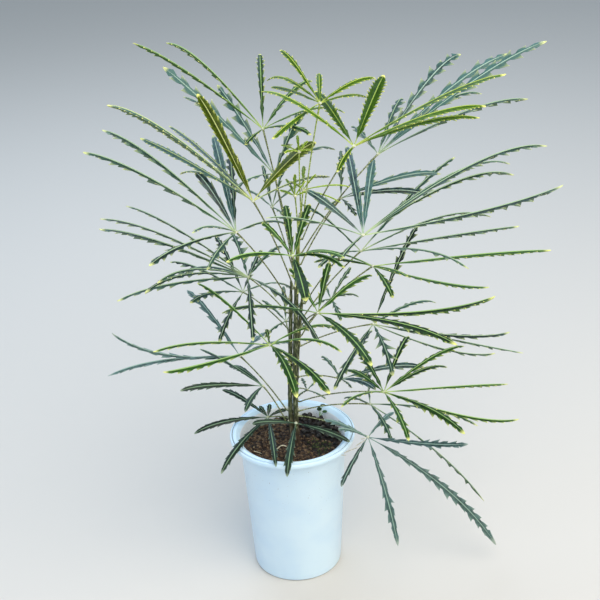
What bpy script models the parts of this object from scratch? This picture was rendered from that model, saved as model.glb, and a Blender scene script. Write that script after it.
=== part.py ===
"""A false aralia in a tall white pot: pot, soil, three stems, its compound leaves and a stray seedling.

Units are metres, +Z is up, the front faces -Y, and the origin is the middle of the pot's underside.
"""

import math
import random

import bmesh
import bpy
from mathutils import Matrix, Vector, noise
from mathutils.bvhtree import BVHTree

MM = 0.001
UP = Vector((0, 0, 1))
GAP = 0.35 * MM  # left between pieces that touch in the real plant

# The pot: radius and height of its turned outline, in mm.
POT_SIDES = 40
POT_OUTSIDE = [(50.5, 0), (52.4, 1.2), (53.1, 4), (62.6, 171.5), (65, 177.4), (71.8, 177.8), (72.4, 175)]
POT_LIP = [(74, 175), (74.2, 179), (73.4, 180), (71.6, 180), (71.2, 180.7), (67, 180.7), (62.2, 177)]
POT_INSIDE = [(60.3, 171), (50.8, 5.5), (48.5, 3)]
POT_OUTLINE = [(0, 0)] + POT_OUTSIDE + POT_LIP + POT_INSIDE + [(0, 3)]
DRAIN_RING = 32  # mm, from the middle to each drain hole
DRAIN_WIDE = 9
DRAINS = 6

# The soil fills the pot to this height, in mm, with clods that rise towards the back right.
SOIL_TOP = 162.5
SOIL_SPOKES = 24
SOIL_RINGS = [10, 22, 34, 46, 54]
CLOD_RISE = 3.0
HOLE_FLOOR = 120  # mm, the bottom of the holes that the stems stand in
HOLE_ROOM = 0.6  # mm, how much wider than its stem a hole is all round
HOLE_TOP = 190  # mm, above all of the soil

# Stems: (across, back, height, radius) in mm, from the soil up.
STEMS = {
    "main": [(5.1, 0, 120.4, 3), (5.1, 0, 168, 3), (5.3, -1, 220, 3), (7.7, -1, 280, 2.9),
             (11, 0, 340, 2.6), (15, 0, 400, 2.2), (18.5, 0, 436, 1.7), (20, 0, 456, 1.1)],
    "left": [(-1.1, 1, 120.4, 2.7), (-1.1, 1, 168, 2.7), (-0.7, 1, 220, 2.7), (2, 2, 280, 2.5),
             (5, 4, 335, 2.1), (7, 6, 372, 1.2)],
    "back": [(3, 8.5, 120.4, 2.6), (3, 8.5, 168, 2.6), (6, 9, 220, 2.5), (10.5, 9, 280, 2.3),
             (16, 9, 330, 1.9), (21, 8, 362, 1.2)],
}
STEM_SIDES = 8

# The seedling: its foot (across, back), its height, and the middle of each round leaf, in mm.
SEEDLING_FOOT = (33.5, 42)
SEEDLING_ROOT = 157  # mm, the stalk's lower end in the soil
SEEDLING_FORK = 173.5  # mm, where its leaves part
SEEDLING_RADIUS = 0.7
SEEDLING_LEAVES = [(33.5, 45, 181.3), (40, 43, 178.5), (38, 48.5, 184.5)]
SEEDLING_LEAF = 3.0  # mm, radius

# The leaves are laid out as a viewer in front sees them, on a sheet 600 units square: x to the right, y
# down. A place on the sheet is a sight line from the eye. It meets the plane Y = 0, and the third number,
# in mm, brings the point nearer to the eye along that line.
EYE = Vector((16, -1216, 934))
SIGHT = 1200  # sheet units in one unit of distance
LOOK_DOWN = math.radians(25.6)
SHEET_TURN = math.radians(-2.56)
SHEET_MIDDLE = 300

# name: hub (x, y, near), stem and height in mm where the leaf stalk leaves it, reach in mm of the longest
# leaflets, greatest width in mm, tone, and the tips of the leaflets. A tip is (x, y), and optionally how much
# nearer than the hub it is, how far its leaflet arches as a part of its length, and the leaflet's width in
# mm: more than 0 where it is turned to the viewer, less than 0 where it is seen on edge. The reach decides
# the first of these where it isn't given, and a draw decides the second.
LEAVES = {
    "leaf_01": ((263, 129, -45), ("main", 384), 150, 11, "mid",
                [(260, 54), (166, 43, None, 0.22, -9), (133, 43, None, None, -9), (312, 81), (345, 113),
                 (311, 135), (245, 145)]),
    "leaf_02": ((320, 103, -12), ("main", 444), 90, 11, "young",
                [(280, 50), (271, 87), (267, 81, None, 0.3), (319, 73), (375, 78), (368, 98),
                 (272, 139, 40)]),
    "leaf_03": ((299, 152, 6), ("main", 452), 30, 5, "young",
                [(281, 145), (297, 135), (308, 141), (313, 152), (284, 153)]),
    "leaf_04": ((354, 146, 42), ("main", 426), 160, 14, "young",
                [(384, 75, None, 0.05, 17), (315, 91, None, 0.08, 13), (261, 92), (506, 74), (486, 106),
                 (480, 118), (337, 172)]),
    "leaf_05": ((378, 154, -48), ("main", 408), 190, 14, "dark",
                [(461, 54, None, 0.18, 13), (509, 54, None, 0.14, 13), (547, 41, None, 0.1, 12),
                 (528, 99, None, None, -9), (482, 94), (402, 98), (352, 126)]),
    "leaf_06": ((274, 174, -22), ("main", 396), 160, 13, "dark",
                [(163, 67, None, 0.06, 13), (217, 85, None, 0.08, 12), (183, 97), (300, 110), (335, 150),
                 (235, 190)]),
    "leaf_07": ((253, 201, 62), ("main", 368), 170, 11, "olive",
                [(197, 94, None, 0.1, 13), (316, 142, None, 0.1, 15), (127, 112, None, None, -9),
                 (107, 105, None, None, -9), (169, 126, None, 0.2), (140, 138), (180, 174),
                 (330, 177, None, None, -8), (227, 149, None, None, 9)]),
    "leaf_08": ((272, 207, -75), ("main", 390), 80, 8, "dark",
                [(262, 165), (288, 160), (304, 182), (247, 190), (290, 222)]),
    "leaf_09": ((295, 196, 10), ("main", 436), 36, 5, "young",
                [(286, 179), (295, 174), (306, 181), (311, 191), (280, 190)]),
    "leaf_10": ((303, 190, -6), ("main", 443), 44, 5, "young",
                [(304, 166), (316, 174), (350, 187), (341, 203), (290, 182)]),
    "leaf_11": ((341, 198, -30), ("main", 394), 115, 9, "dark",
                [(441, 174, None, None, 9), (432, 197, None, None, 10), (341, 150), (324, 210),
                 (356, 216)]),
    "leaf_12": ((236, 232, 50), ("left", 352), 190, 12, "dark",
                [(83, 152, None, None, -12), (102, 130, None, 0.16, -11), (149, 266), (192, 233),
                 (207, 270), (230, 150), (213, 135, None, 0.06, 13), (292, 228),
                 (195, 172, -40, None, 12)]),
    "leaf_13": ((363, 235, 60), ("back", 344), 235, 13, "dark",
                [(346, 146, None, None, 12), (355, 184, None, None, 10), (374, 158, None, None, 12),
                 (547, 146, None, None, -13), (510, 164), (514, 175, None, None, -10),
                 (563, 185, None, -0.05, -14), (266, 218, 10, 0.12, -8), (305, 190, -60, None, 10),
                 (340, 260)]),
    "leaf_14": ((361, 251, -45), ("back", 326), 200, 12, "dark",
                [(455, 157), (491, 217, None, 0.18, -9), (519, 226, None, 0.02, -9),
                 (469, 269, None, None, -8), (300, 204, -40), (318, 268)]),
    "leaf_15": ((373, 266, 8), ("back", 312), 200, 11, "mid",
                [(551, 250, None, 0.03, -11), (489, 287, None, -0.05, -9), (408, 277), (393, 298),
                 (314, 262, None, None, -8), (300, 256, None, None, -8)]),
    "leaf_16": ((293, 256, 88), ("main", 378), 110, 18, "mid",
                [(226, 262, None, None, -12), (306, 301, None, 0.12, 18), (285, 205), (262, 222),
                 (310, 204), (345, 258), (345, 268, None, None, -8)]),
    "leaf_17": ((248, 277, -12), ("left", 334), 180, 12, "dark",
                [(100, 219, None, None, -10), (99, 229, None, None, -10), (126, 206, None, None, -8),
                 (157, 283, None, None, -9), (145, 293), (117, 301), (182, 276), (253, 341), (232, 232),
                 (282, 246), (321, 346, 90, 0.3)]),
    "leaf_18": ((243, 292, -88), ("left", 312), 130, 11, "dark",
                [(190, 303), (170, 262), (215, 236), (262, 250), (294, 290), (219, 343)]),
    "leaf_19": ((286, 321, -70), ("left", 292), 70, 8, "dark",
                [(262, 300), (284, 286), (306, 300), (264, 338), (309, 331)]),
    "leaf_20": ((318, 313, 100), ("main", 302), 190, 17, "mid",
                [(495, 296, None, -0.1, -12), (457, 345), (372, 366, None, 0.14, 13), (222, 313),
                 (290, 268), (330, 262), (372, 275)]),
    "leaf_21": ((373, 324, -50), ("back", 288), 160, 12, "dark",
                [(510, 332, None, -0.1), (523, 353, None, 0.0, -8), (495, 353, None, -0.14, -9),
                 (436, 303), (393, 376), (334, 390), (420, 222)]),
    "leaf_22": ((270, 345, 82), ("left", 268), 150, 15, "mid",
                [(163, 372, None, -0.03, -10), (153, 352, None, 0.12, -10), (197, 283, None, None, -8),
                 (266, 329), (345, 334, None, 0.25, -7), (342, 352, None, None, -7),
                 (297, 398, None, 0.25), (330, 394)]),
    "leaf_23": ((240, 356, -40), ("left", 207), 150, 12, "dark",
                [(108, 376, None, None, -9), (112, 333, None, -0.2), (187, 290), (290, 343), (272, 331)]),
    "leaf_24": ((263, 386, 12), ("left", 192), 110, 11, "dark",
                [(180, 391, None, None, 9), (245, 412, None, None, 9), (200, 349, None, 0.1, -7),
                 (229, 366)]),
    "leaf_25": ((341, 379, -70), ("back", 246), 110, 11, "dark",
                [(425, 368, None, None, 10), (376, 390, None, None, 10), (352, 388), (372, 330),
                 (322, 356)]),
    "leaf_26": ((384, 392, 58), ("back", 216), 165, 13, "mid",
                [(508, 384, None, 0.02, -9), (464, 346), (447, 367), (409, 336), (358, 352), (346, 370),
                 (341, 407), (409, 441), (519, 419, None, -0.12, -9), (465, 434)]),
    "leaf_27": ((370, 404, -24), ("main", 207), 150, 10, "dark",
                [(484, 501, None, None, -8), (392, 441), (344, 398), (478, 426), (366, 366)]),
    "leaf_28": ((307, 390, -48), ("main", 234), 45, 6, "dark",
                [(318, 380), (302, 378), (326, 399), (296, 398)]),
    "leaf_29": ((368, 437, 48), ("main", 206), 190, 14, "dark",
                [(496, 545, None, None, 14), (398, 546, None, None, 12), (341, 487, 34, None, 10),
                 (468, 444, None, -0.04, 10), (394, 412), (324, 419, -24), (338, 429, 8)]),
    "leaf_30": ((268, 417, -26), ("left", 196), 105, 12, "dark",
                [(194, 434, 20, None, 9), (221, 474, 74, None, 10), (276, 467, 108, None, 9),
                 (259, 406, -14, None, 6), (270, 404, -12, None, 7), (287, 410, -8, None, 6),
                 (222, 390, -60, None, 8)]),
    "leaf_31": ((296, 423, 14), ("main", 186), 75, 11, "dark",
                [(252, 424, 12, None, 9), (287, 477, 84, None, 11), (350, 442, 30, None, 9)]),
    "leaf_32": ((331, 299, -62), ("back", 300), 60, 8, "dark",
                [(359, 297), (351, 267), (322, 279), (313, 307), (341, 321)]),
}

LEAFLET_STALK = 0.9  # mm, half the width of a leaflet's own thin stalk
RIB_DEEP = 1.1  # mm, how far the rib stands above the line between the blade's edges, at least
FOLD = 0.42  # the same as a part of the blade's half width, because the blade folds down from its rib
LEAFLET_CREST = 0.7  # where along a leaflet it bends most
ARCHES = (0.1, 0.2)  # how far a leaflet arches, drawn between these parts of its length
TILTS = (-14, 12)  # degrees, how far it leans to the viewer, drawn between these
VIEWER_TILT = 42  # degrees, the same for a leaflet that is turned to the viewer
EDGE_TILT = -24  # degrees, the same for a leaflet that is seen on edge
LEANS = 0.25  # how far it leans to either side
WIDTHS = (0.85, 1.1)  # its width, drawn between these parts of its leaf's greatest
SLENDER = 0.16  # the greatest width as a part of the length that is seen, beyond 3 mm
TOOTH_PITCH = 20.5  # mm of leaflet for each tooth
NOTCH = 0.52  # how far the blade reaches between teeth, as a part of its half width
TOOTH_LEAN = 0.25  # how far a tooth leans forward, as a part of the pitch
HUB_RADIUS = 2.4  # mm
ROOT_OFF = 0.7  # mm, from the hub's middle to the sunk end of each leaflet
STALK_RADIUS = 1.25  # mm, the leaf stalk
STALK_FACING = Vector((0.31, -0.95, 0.05)).normalized()  # a direction that no stalk or stem runs along
CLEAR = 0.45  # mm, the air kept round every stalk and leaflet

# Colour, roughness and metallic of each material. Colours are linear.
MATERIALS = {
    "white_plastic": ((0.78, 0.82, 0.86, 1), 0.38, 0.0),
    "potting_mix": ((0.045, 0.028, 0.018, 1), 0.95, 0.0),
    "green_bark": ((0.09, 0.08, 0.035, 1), 0.75, 0.0),
    "leaf_dark": ((0.022, 0.06, 0.042, 1), 0.42, 0.0),
    "leaf_mid": ((0.035, 0.1, 0.035, 1), 0.42, 0.0),
    "leaf_olive": ((0.06, 0.11, 0.014, 1), 0.45, 0.0),
    "leaf_young": ((0.12, 0.22, 0.02, 1), 0.45, 0.0),
}


def material(name):
    found = bpy.data.materials.get(name)
    if found:
        return found
    colour, roughness, metallic = MATERIALS[name]
    made = bpy.data.materials.new(name)
    made.use_nodes = True
    shader = made.node_tree.nodes["Principled BSDF"]
    shader.inputs["Base Color"].default_value = colour
    shader.inputs["Roughness"].default_value = roughness
    shader.inputs["Metallic"].default_value = metallic
    made.diffuse_color = colour
    return made


def new_object(name, points, faces, material_name, smooth_angle=None):
    """One object from points in mm and the faces between them."""
    mesh = bpy.data.meshes.new(name)
    mesh.from_pydata([Vector(p) * MM for p in points], [], faces)
    mesh.update()
    made = bpy.data.objects.new(name, mesh)
    bpy.context.scene.collection.objects.link(made)
    mesh.materials.append(material(material_name))
    if smooth_angle:
        mesh.shade_smooth()
        mesh.set_sharp_from_angle(angle=math.radians(smooth_angle))
    return made


def turned(outline, sides):
    """Points and faces of an outline of (radius, height) turned round Z. A radius of 0 is one point."""
    points = []
    rows = []
    for radius, height in outline:
        if radius == 0:
            rows.append([len(points)] * sides)
            points.append((0, 0, height))
            continue
        rows.append(list(range(len(points), len(points) + sides)))
        for i in range(sides):
            turn = math.tau * i / sides
            points.append((radius * math.cos(turn), radius * math.sin(turn), height))
    faces = []
    for low, high in zip(rows, rows[1:]):
        for i in range(sides):
            j = (i + 1) % sides
            corners = [low[i], low[j], high[j], high[i]]
            faces.append([c for k, c in enumerate(corners) if c != corners[k - 1]])
    return points, faces


def boolean(target, operation, others, solver="EXACT"):
    """Joins or cuts the target with the other objects, which are then removed."""
    group = bpy.data.collections.new(target.name + "_tools")
    for other in others:
        group.objects.link(other)
    step = target.modifiers.new(operation.lower(), "BOOLEAN")
    step.operation = operation
    step.operand_type = "COLLECTION"
    step.collection = group
    step.solver = solver
    with bpy.context.temp_override(object=target, active_object=target, selected_objects=[target]):
        bpy.ops.object.modifier_apply(modifier=step.name)
    for other in others:
        bpy.data.objects.remove(other)
    bpy.data.collections.remove(group)


def cylinder(name, centre, radius, low, high, sides=12):
    points = []
    for height in (low, high):
        for i in range(sides):
            turn = math.tau * i / sides
            x, y = centre[0] + radius * math.cos(turn), centre[1] + radius * math.sin(turn)
            points.append((x, y, height))
    faces = [list(range(sides))[::-1], list(range(sides, 2 * sides))]
    faces += [[i, (i + 1) % sides, sides + (i + 1) % sides, sides + i] for i in range(sides)]
    return new_object(name, points, faces, "potting_mix")


# Curves, tubes and blades


def along(start, bend, end, t):
    """A point of the curve from start to end that bend pulls to its side."""
    return start * (1 - t) ** 2 + bend * (2 * t * (1 - t)) + end * t**2


def frames(path, facing):
    """(point, ahead, side, face) at each point of a path, with face as near to facing as it can be."""
    found = []
    for i, point in enumerate(path):
        ahead = (path[min(i + 1, len(path) - 1)] - path[max(i - 1, 0)]).normalized()
        side = ahead.cross(facing).normalized()
        found.append((point, ahead, side, side.cross(ahead)))
    return found


def tube(path, radii, sides):
    """Points and faces of a closed tube along a path."""
    points = []
    for (point, ahead, side, face), radius in zip(frames(path, STALK_FACING), radii):
        for i in range(sides):
            turn = math.tau * (i + 0.5) / sides
            points.append(point + side * (radius * math.cos(turn)) + face * (radius * math.sin(turn)))
    last = sides * (len(path) - 1)
    faces = [list(range(sides)), [last + i for i in range(sides)][::-1]]
    for row in range(len(path) - 1):
        for i in range(sides):
            j = (i + 1) % sides
            low = sides * row
            faces.append([low + j, low + i, low + sides + i, low + sides + j])
    return points, faces


def half_width(t, width):
    """Half the width in mm of a leaflet at t along it, out to its teeth."""
    if t < 0.1:
        return LEAFLET_STALK
    swell = math.sin(math.pi * min((t - 0.04) / 0.98, 1) ** 1.25)
    return max(LEAFLET_STALK, width / 2 * (0.3 + 0.7 * swell) * (1 if t < 0.9 else 0.75))


# Where things stand


def place(x, y, near):
    """The point in mm that a place on the sheet stands for."""
    right = Vector((1, 0, 0))
    over = Vector((0, math.sin(LOOK_DOWN), math.cos(LOOK_DOWN)))
    ahead = Vector((0, math.cos(LOOK_DOWN), -math.sin(LOOK_DOWN)))
    dx = x - SHEET_MIDDLE
    dy = y - SHEET_MIDDLE
    u = dx * math.cos(SHEET_TURN) + dy * math.sin(SHEET_TURN)
    v = dy * math.cos(SHEET_TURN) - dx * math.sin(SHEET_TURN)
    sight = (ahead * SIGHT + right * u - over * v).normalized()
    return EYE + sight * (-EYE.y / sight.y - near)


def stem_at(stem, height):
    """(centre, radius) in mm of a stem at a height."""
    rows = STEMS[stem]
    for low, high in zip(rows, rows[1:]):
        if height <= high[2]:
            break
    t = (height - low[2]) / (high[2] - low[2])
    x, y, z, radius = (a + (b - a) * t for a, b in zip(low, high))
    return Vector((x, y, z)), radius


def stalk_path(stem, height, hub, sway):
    """The leaf stalk's points, from just off its stem to the hub."""
    centre, radius = stem_at(stem, height)
    out = hub - centre
    out.z = 0
    out.normalize()
    start = centre + out * (radius + GAP / MM + 0.15)
    length = (hub - start).length
    first = start + out * 2.5
    bend = start + (hub - start) * 0.45 + UP * (0.09 * length) + (EYE - hub).normalized() * sway
    points = [start]
    for i in range(6):
        points.append(along(first, bend, hub, i / 5))
    return points


def leaflet_path(hub, tip, arch, count):
    """Points along a leaflet's rib. It arches up from the hub and its tip droops."""
    length = (tip - hub).length
    bend = hub + (tip - hub) * LEAFLET_CREST + UP * (arch * length)
    root = hub + (bend - hub).normalized() * ROOT_OFF
    return [along(root, bend, tip, i / count) for i in range(count + 1)]


def shape_of(points, faces):
    """A search tree of some faces, and the corners of the box round them."""
    points = [Vector(point) for point in points]
    low = Vector(min(p[k] for p in points) for k in range(3))
    high = Vector(max(p[k] for p in points) for k in range(3))
    return BVHTree.FromPolygons(points, faces), low, high


def sleeve(path, facing, widths, above, below):
    """A closed box along a path, for telling whether two things come too close."""
    points = []
    for (point, ahead, side, face), wide in zip(frames(path, facing), widths):
        for across, up in ((wide, above), (-wide, above), (-wide, -below), (wide, -below)):
            points.append(point + side * across + face * up)
    last = 4 * (len(path) - 1)
    faces = [(0, 1, 2, 3), (last + 3, last + 2, last + 1, last)]
    for row in range(len(path) - 1):
        for i in range(4):
            j = (i + 1) % 4
            faces.append((4 * row + i, 4 * row + j, 4 * row + 4 + j, 4 * row + 4 + i))
    return shape_of(points, faces)


def is_clear(shape, others):
    tree, low, high = shape
    for other, other_low, other_high in others:
        apart = any(low[k] > other_high[k] or high[k] < other_low[k] for k in range(3))
        if not apart and tree.overlap(other):
            return False
    return True


def stalk_sleeve(path):
    wide = STALK_RADIUS + CLEAR
    return sleeve(path, STALK_FACING, [wide] * len(path), wide, wide)


def leaflet_sleeve(path, facing, width):
    steps = len(path) - 1
    widths = [half_width(i / steps, width) + CLEAR for i in range(steps + 1)]
    return sleeve(path, facing, widths, CLEAR, max(RIB_DEEP, FOLD * width / 2) + CLEAR)


def near_by_reach(hub, tip, reach):
    """How much nearer than the hub a tip is: what its leaflet's length leaves over, forward if it hangs."""
    seen = (place(tip[0], tip[1], hub[2]) - place(*hub)).length
    full = min(0.95 * reach, 1.9 * seen)
    depth = math.sqrt(max(full * full - seen * seen, 0))
    return depth if tip[1] > hub[1] else -depth


def clear_stalk(stem, height, hub, taken):
    """(path, sleeve) of a leaf stalk that touches nothing, or None."""
    for drop in (0, -4, 4, -8, 8, -12, 12):
        for sway in (0, 8, -8, 16, -16, 26, -26):
            path = stalk_path(stem, height + drop, hub, sway)
            shape = stalk_sleeve(path)
            if is_clear(shape, taken):
                return path, shape
    return None


def clear_leaflet(hub, centre, tip, near, arch, facing, width, taken):
    """(path, sleeve) of a leaflet that touches nothing, or None."""
    for more in (1, 0.4, 1.8):
        for shift in (0, 7, -7, 14, -14, 21, -21, 28, -28, 38, -38, 50, -50):
            end = place(tip[0], tip[1], hub[2] + near + shift)
            length = (end - centre).length
            steps = max(4, min(11, round(length / TOOTH_PITCH)))
            path = leaflet_path(centre, end, arch * more, steps)
            shape = leaflet_sleeve(path, facing, width)
            if is_clear(shape, taken):
                return path, shape
    return None


def try_leaf(name, hub, lay, taken):
    """(stalk path, leaflets, sleeves, faults) of a leaf with its hub at this place."""
    _, (stem, height), reach, width, _, tips = lay
    draw = random.Random(name)
    centre = place(*hub)
    ends = [centre - Vector((HUB_RADIUS + CLEAR, 0, 0)), centre + Vector((HUB_RADIUS + CLEAR, 0, 0))]
    room = HUB_RADIUS + CLEAR
    knot = sleeve(ends, UP, [room, room], room, room)
    if not is_clear(knot, taken):
        return None, [], [], ["hub"]
    stalk = clear_stalk(stem, height, centre, taken)
    if stalk is None:
        return None, [], [], ["stalk"]
    faults = []
    leaflets = []
    own = [knot, stalk[1]]
    for tip in tips:
        x, y, near, arch, broad = (tip + (None, None, None))[:5]
        drawn_arch, drawn_tilt = draw.uniform(*ARCHES), draw.uniform(*TILTS)
        lean = draw.uniform(-LEANS, LEANS)
        drawn_width = width * draw.uniform(*WIDTHS)
        near = near_by_reach(hub, tip, reach) if near is None else near
        arch = drawn_arch if arch is None else arch
        tilt, wide = drawn_tilt, min(drawn_width, SLENDER * (place(x, y, hub[2]) - centre).length + 3)
        if broad:
            tilt, wide = VIEWER_TILT if broad > 0 else EDGE_TILT, abs(broad)
        tilt = math.radians(tilt)
        facing = Vector((lean, -math.sin(tilt), math.cos(tilt))).normalized()
        found = clear_leaflet(hub, centre, tip, near, arch, facing, wide, taken)
        if found is None:
            faults.append(tip)
            continue
        leaflets.append((found[0], facing, wide))
        own.append(found[1])
    return stalk[0], leaflets, own, faults


def lay_out():
    """Every leaf in turn, moved along its sight lines until it is clear of the stems and earlier leaves."""
    taken = [shape_of(*turned(POT_OUTLINE, POT_SIDES)), shape_of(*soil_surface())]
    for rows in STEMS.values():
        path = [Vector(row[:3]) for row in rows]
        taken.append(shape_of(*tube(path, [row[3] for row in rows], STEM_SIDES)))
    for leaf in SEEDLING_LEAVES:
        foot = Vector(SEEDLING_FOOT + (SEEDLING_FORK - 7,))
        room = SEEDLING_LEAF + CLEAR
        taken.append(sleeve([foot, Vector(leaf) + UP * room], Vector((0, -1, 0)), [room, room], room, room))
    found = {}
    for name, lay in LEAVES.items():
        best = None
        for shift in (0, 8, -8, 16, -16, 24, -24, 34, -34):
            x, y, near = lay[0]
            tried = try_leaf(name, (x, y, near + shift), lay, taken)
            if tried[0] and (best is None or len(tried[3]) < len(best[3])):
                best = tried
            if not tried[3]:
                break
        stalk, leaflets, own, faults = best
        if faults:
            print(name, "is not clear:", faults)
        found[name] = (stalk, leaflets, lay[4])
        taken += own
    return found


# Pieces


def make_pot():
    points, faces = turned(POT_OUTLINE, POT_SIDES)
    pot = new_object("pot", points, faces, "white_plastic", smooth_angle=35)
    drains = []
    for i in range(DRAINS):
        turn = math.tau * (i + 0.5) / DRAINS
        centre = (DRAIN_RING * math.cos(turn), DRAIN_RING * math.sin(turn))
        drains.append(cylinder(f"drain_{i}", centre, DRAIN_WIDE / 2, -2, 5, 10))
    boolean(pot, "DIFFERENCE", drains)
    return pot


def soil_height(x, y):
    """Height in mm of the soil's top."""
    clods = noise.noise(Vector((x, y, 7)) / 11) * CLOD_RISE
    rise = 5 * max(0, (x + y) / 85)
    return SOIL_TOP + clods + rise


def pot_inside(height):
    (wide, top), (narrow, low) = POT_INSIDE[0], POT_INSIDE[1]
    return narrow + (wide - narrow) * (height - low) / (top - low)


def soil_surface():
    """Points and faces of the soil: up the pot's inside and over the clods to the middle."""
    points = [(0, 0, 3.4), (0, 0, soil_height(0, 0))]
    rings = [(47, 3.4), (pot_inside(6) - 0.5, 6), (pot_inside(150) - 0.5, 150)]
    rings += [(radius, None) for radius in [pot_inside(SOIL_TOP - 2) - 0.5] + SOIL_RINGS[::-1]]
    rows = []
    for radius, height in rings:
        rows.append(range(len(points), len(points) + SOIL_SPOKES))
        for i in range(SOIL_SPOKES):
            turn = math.tau * i / SOIL_SPOKES
            x, y = radius * math.cos(turn), radius * math.sin(turn)
            points.append((x, y, soil_height(x, y) if height is None else height))
    faces = []
    for i in range(SOIL_SPOKES):
        j = (i + 1) % SOIL_SPOKES
        faces.append((0, rows[0][j], rows[0][i]))
        faces.append((1, rows[-1][i], rows[-1][j]))
        for low, high in zip(rows, rows[1:]):
            faces.append((low[i], low[j], high[j]))
            faces.append((low[i], high[j], high[i]))
    return points, faces


def make_soil():
    soil = new_object("soil", *soil_surface(), "potting_mix")
    floor = SEEDLING_ROOT - 0.5
    holes = [cylinder("hole_seedling", SEEDLING_FOOT, SEEDLING_RADIUS + HOLE_ROOM, floor, HOLE_TOP, 8)]
    for name, rows in STEMS.items():
        x, y, _, radius = rows[0]
        holes.append(cylinder(f"hole_{name}", (x, y), radius + HOLE_ROOM, HOLE_FLOOR, HOLE_TOP, 10))
    for hole in holes:
        boolean(soil, "DIFFERENCE", [hole])
    return soil


def make_stem(name):
    rows = STEMS[name]
    path = [Vector(row[:3]) for row in rows]
    points, faces = tube(path, [row[3] for row in rows], STEM_SIDES)
    return new_object(f"stem_{name}", points, faces, "green_bark", smooth_angle=60)


def leaflet_mesh(path, facing, width):
    """A blade folded down from its rib, with teeth that lean forward, from the hub to its tip."""
    steps = len(path) - 1
    pitch = (path[-1] - path[0]).length / steps
    points = []
    for i, (point, ahead, side, face) in enumerate(frames(path, facing)[:-1]):
        t = i / steps
        wide = half_width(t, width)
        left = right = wide
        if t >= 0.1:
            # At every step one edge is out at the tip of a tooth and the other is in at a notch.
            notch = NOTCH * wide
            left, right = (wide, notch) if i % 2 else (notch, wide)
        lean = ahead * (TOOTH_LEAN * pitch)
        deep = face * (max(RIB_DEEP, FOLD * wide) if t >= 0.1 else 2 * LEAFLET_STALK)
        points.append(point - deep - side * left + (lean if left > 0.7 * wide and t > 0.1 else Vector()))
        points.append(point - deep + side * right + (lean if right > 0.7 * wide and t > 0.1 else Vector()))
        points.append(point)
    points.append(path[-1])
    tip = len(points) - 1
    faces = [(0, 1, 2)]
    for i in range(steps - 1):
        a, b, c = 3 * i, 3 * i + 1, 3 * i + 2
        d, e, f = a + 3, b + 3, c + 3
        faces += [(a, d, e), (a, e, b), (b, e, f), (b, f, c), (c, f, d), (c, d, a)]
    a = tip - 3
    faces += [(a, tip, a + 1), (a + 1, tip, a + 2), (a + 2, tip, a)]
    return points, faces


def make_leaf(name, stalk, leaflets, tone):
    material_name = "leaf_" + tone
    hub = new_object(name, [], [], material_name)
    body = bmesh.new()
    bmesh.ops.create_icosphere(body, subdivisions=1, radius=HUB_RADIUS * MM,
                               matrix=Matrix.Translation(stalk[-1] * MM))
    body.to_mesh(hub.data)
    body.free()
    points, faces = tube(stalk, [STALK_RADIUS] * len(stalk), 4)
    others = [new_object(name + "_stalk", points, faces, material_name)]
    for i, (path, facing, width) in enumerate(leaflets):
        points, faces = leaflet_mesh(path, facing, width)
        others.append(new_object(f"{name}_leaflet_{i}", points, faces, material_name))
    boolean(hub, "UNION", others, "MANIFOLD")
    return hub


def make_seedling():
    x, y = SEEDLING_FOOT
    fork = Vector((x, y, SEEDLING_FORK))
    points, faces = tube([Vector((x, y, SEEDLING_ROOT)), fork], [SEEDLING_RADIUS] * 2, 6)
    seedling = new_object("seedling", points, faces, "leaf_mid")
    others = []
    for i, middle in enumerate(SEEDLING_LEAVES):
        middle = Vector(middle)
        points, faces = tube([fork - UP * 1.5, middle], [SEEDLING_RADIUS] * 2, 5)
        others.append(new_object(f"seedling_stalk_{i}", points, faces, "leaf_mid"))
        round_leaf = new_object(f"seedling_leaf_{i}", [], [], "leaf_mid")
        body = bmesh.new()
        bmesh.ops.create_icosphere(body, subdivisions=1, radius=SEEDLING_LEAF * MM)
        tilted = Matrix.Rotation(math.radians(35 - 20 * i), 4, "X") @ Matrix.Diagonal((1, 0.85, 0.22, 1))
        bmesh.ops.transform(body, matrix=Matrix.Translation(middle * MM) @ tilted, verts=body.verts)
        body.to_mesh(round_leaf.data)
        body.free()
        others.append(round_leaf)
    boolean(seedling, "UNION", others, "MANIFOLD")
    return seedling


for old in list(bpy.data.objects):
    bpy.data.objects.remove(old)

make_pot()
make_soil()
make_seedling()
for stem in STEMS:
    make_stem(stem)
for leaf_name, (leaf_stalk, leaf_leaflets, leaf_tone) in lay_out().items():
    make_leaf(leaf_name, leaf_stalk, leaf_leaflets, leaf_tone)
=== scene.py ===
# %% [markdown]
# # A false aralia in a white plastic pot
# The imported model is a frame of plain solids: pot, soil, stems, leaves and a seedling. It is loaded first
# and stays as it is. Each piece made below stands for one of its nodes, or lies on its soil. Everything is
# in metres, +Z is up, and the origin is the middle of the pot's underside. What catches the eye on the real
# plant are the narrow toothed leaflets, so most of the work goes into one leaflet that is then bent and
# copied.

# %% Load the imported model
import math
import random

import bmesh
import bpy
import numpy as np
from mathutils import Matrix, Vector, noise
from mathutils.bvhtree import BVHTree


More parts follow.
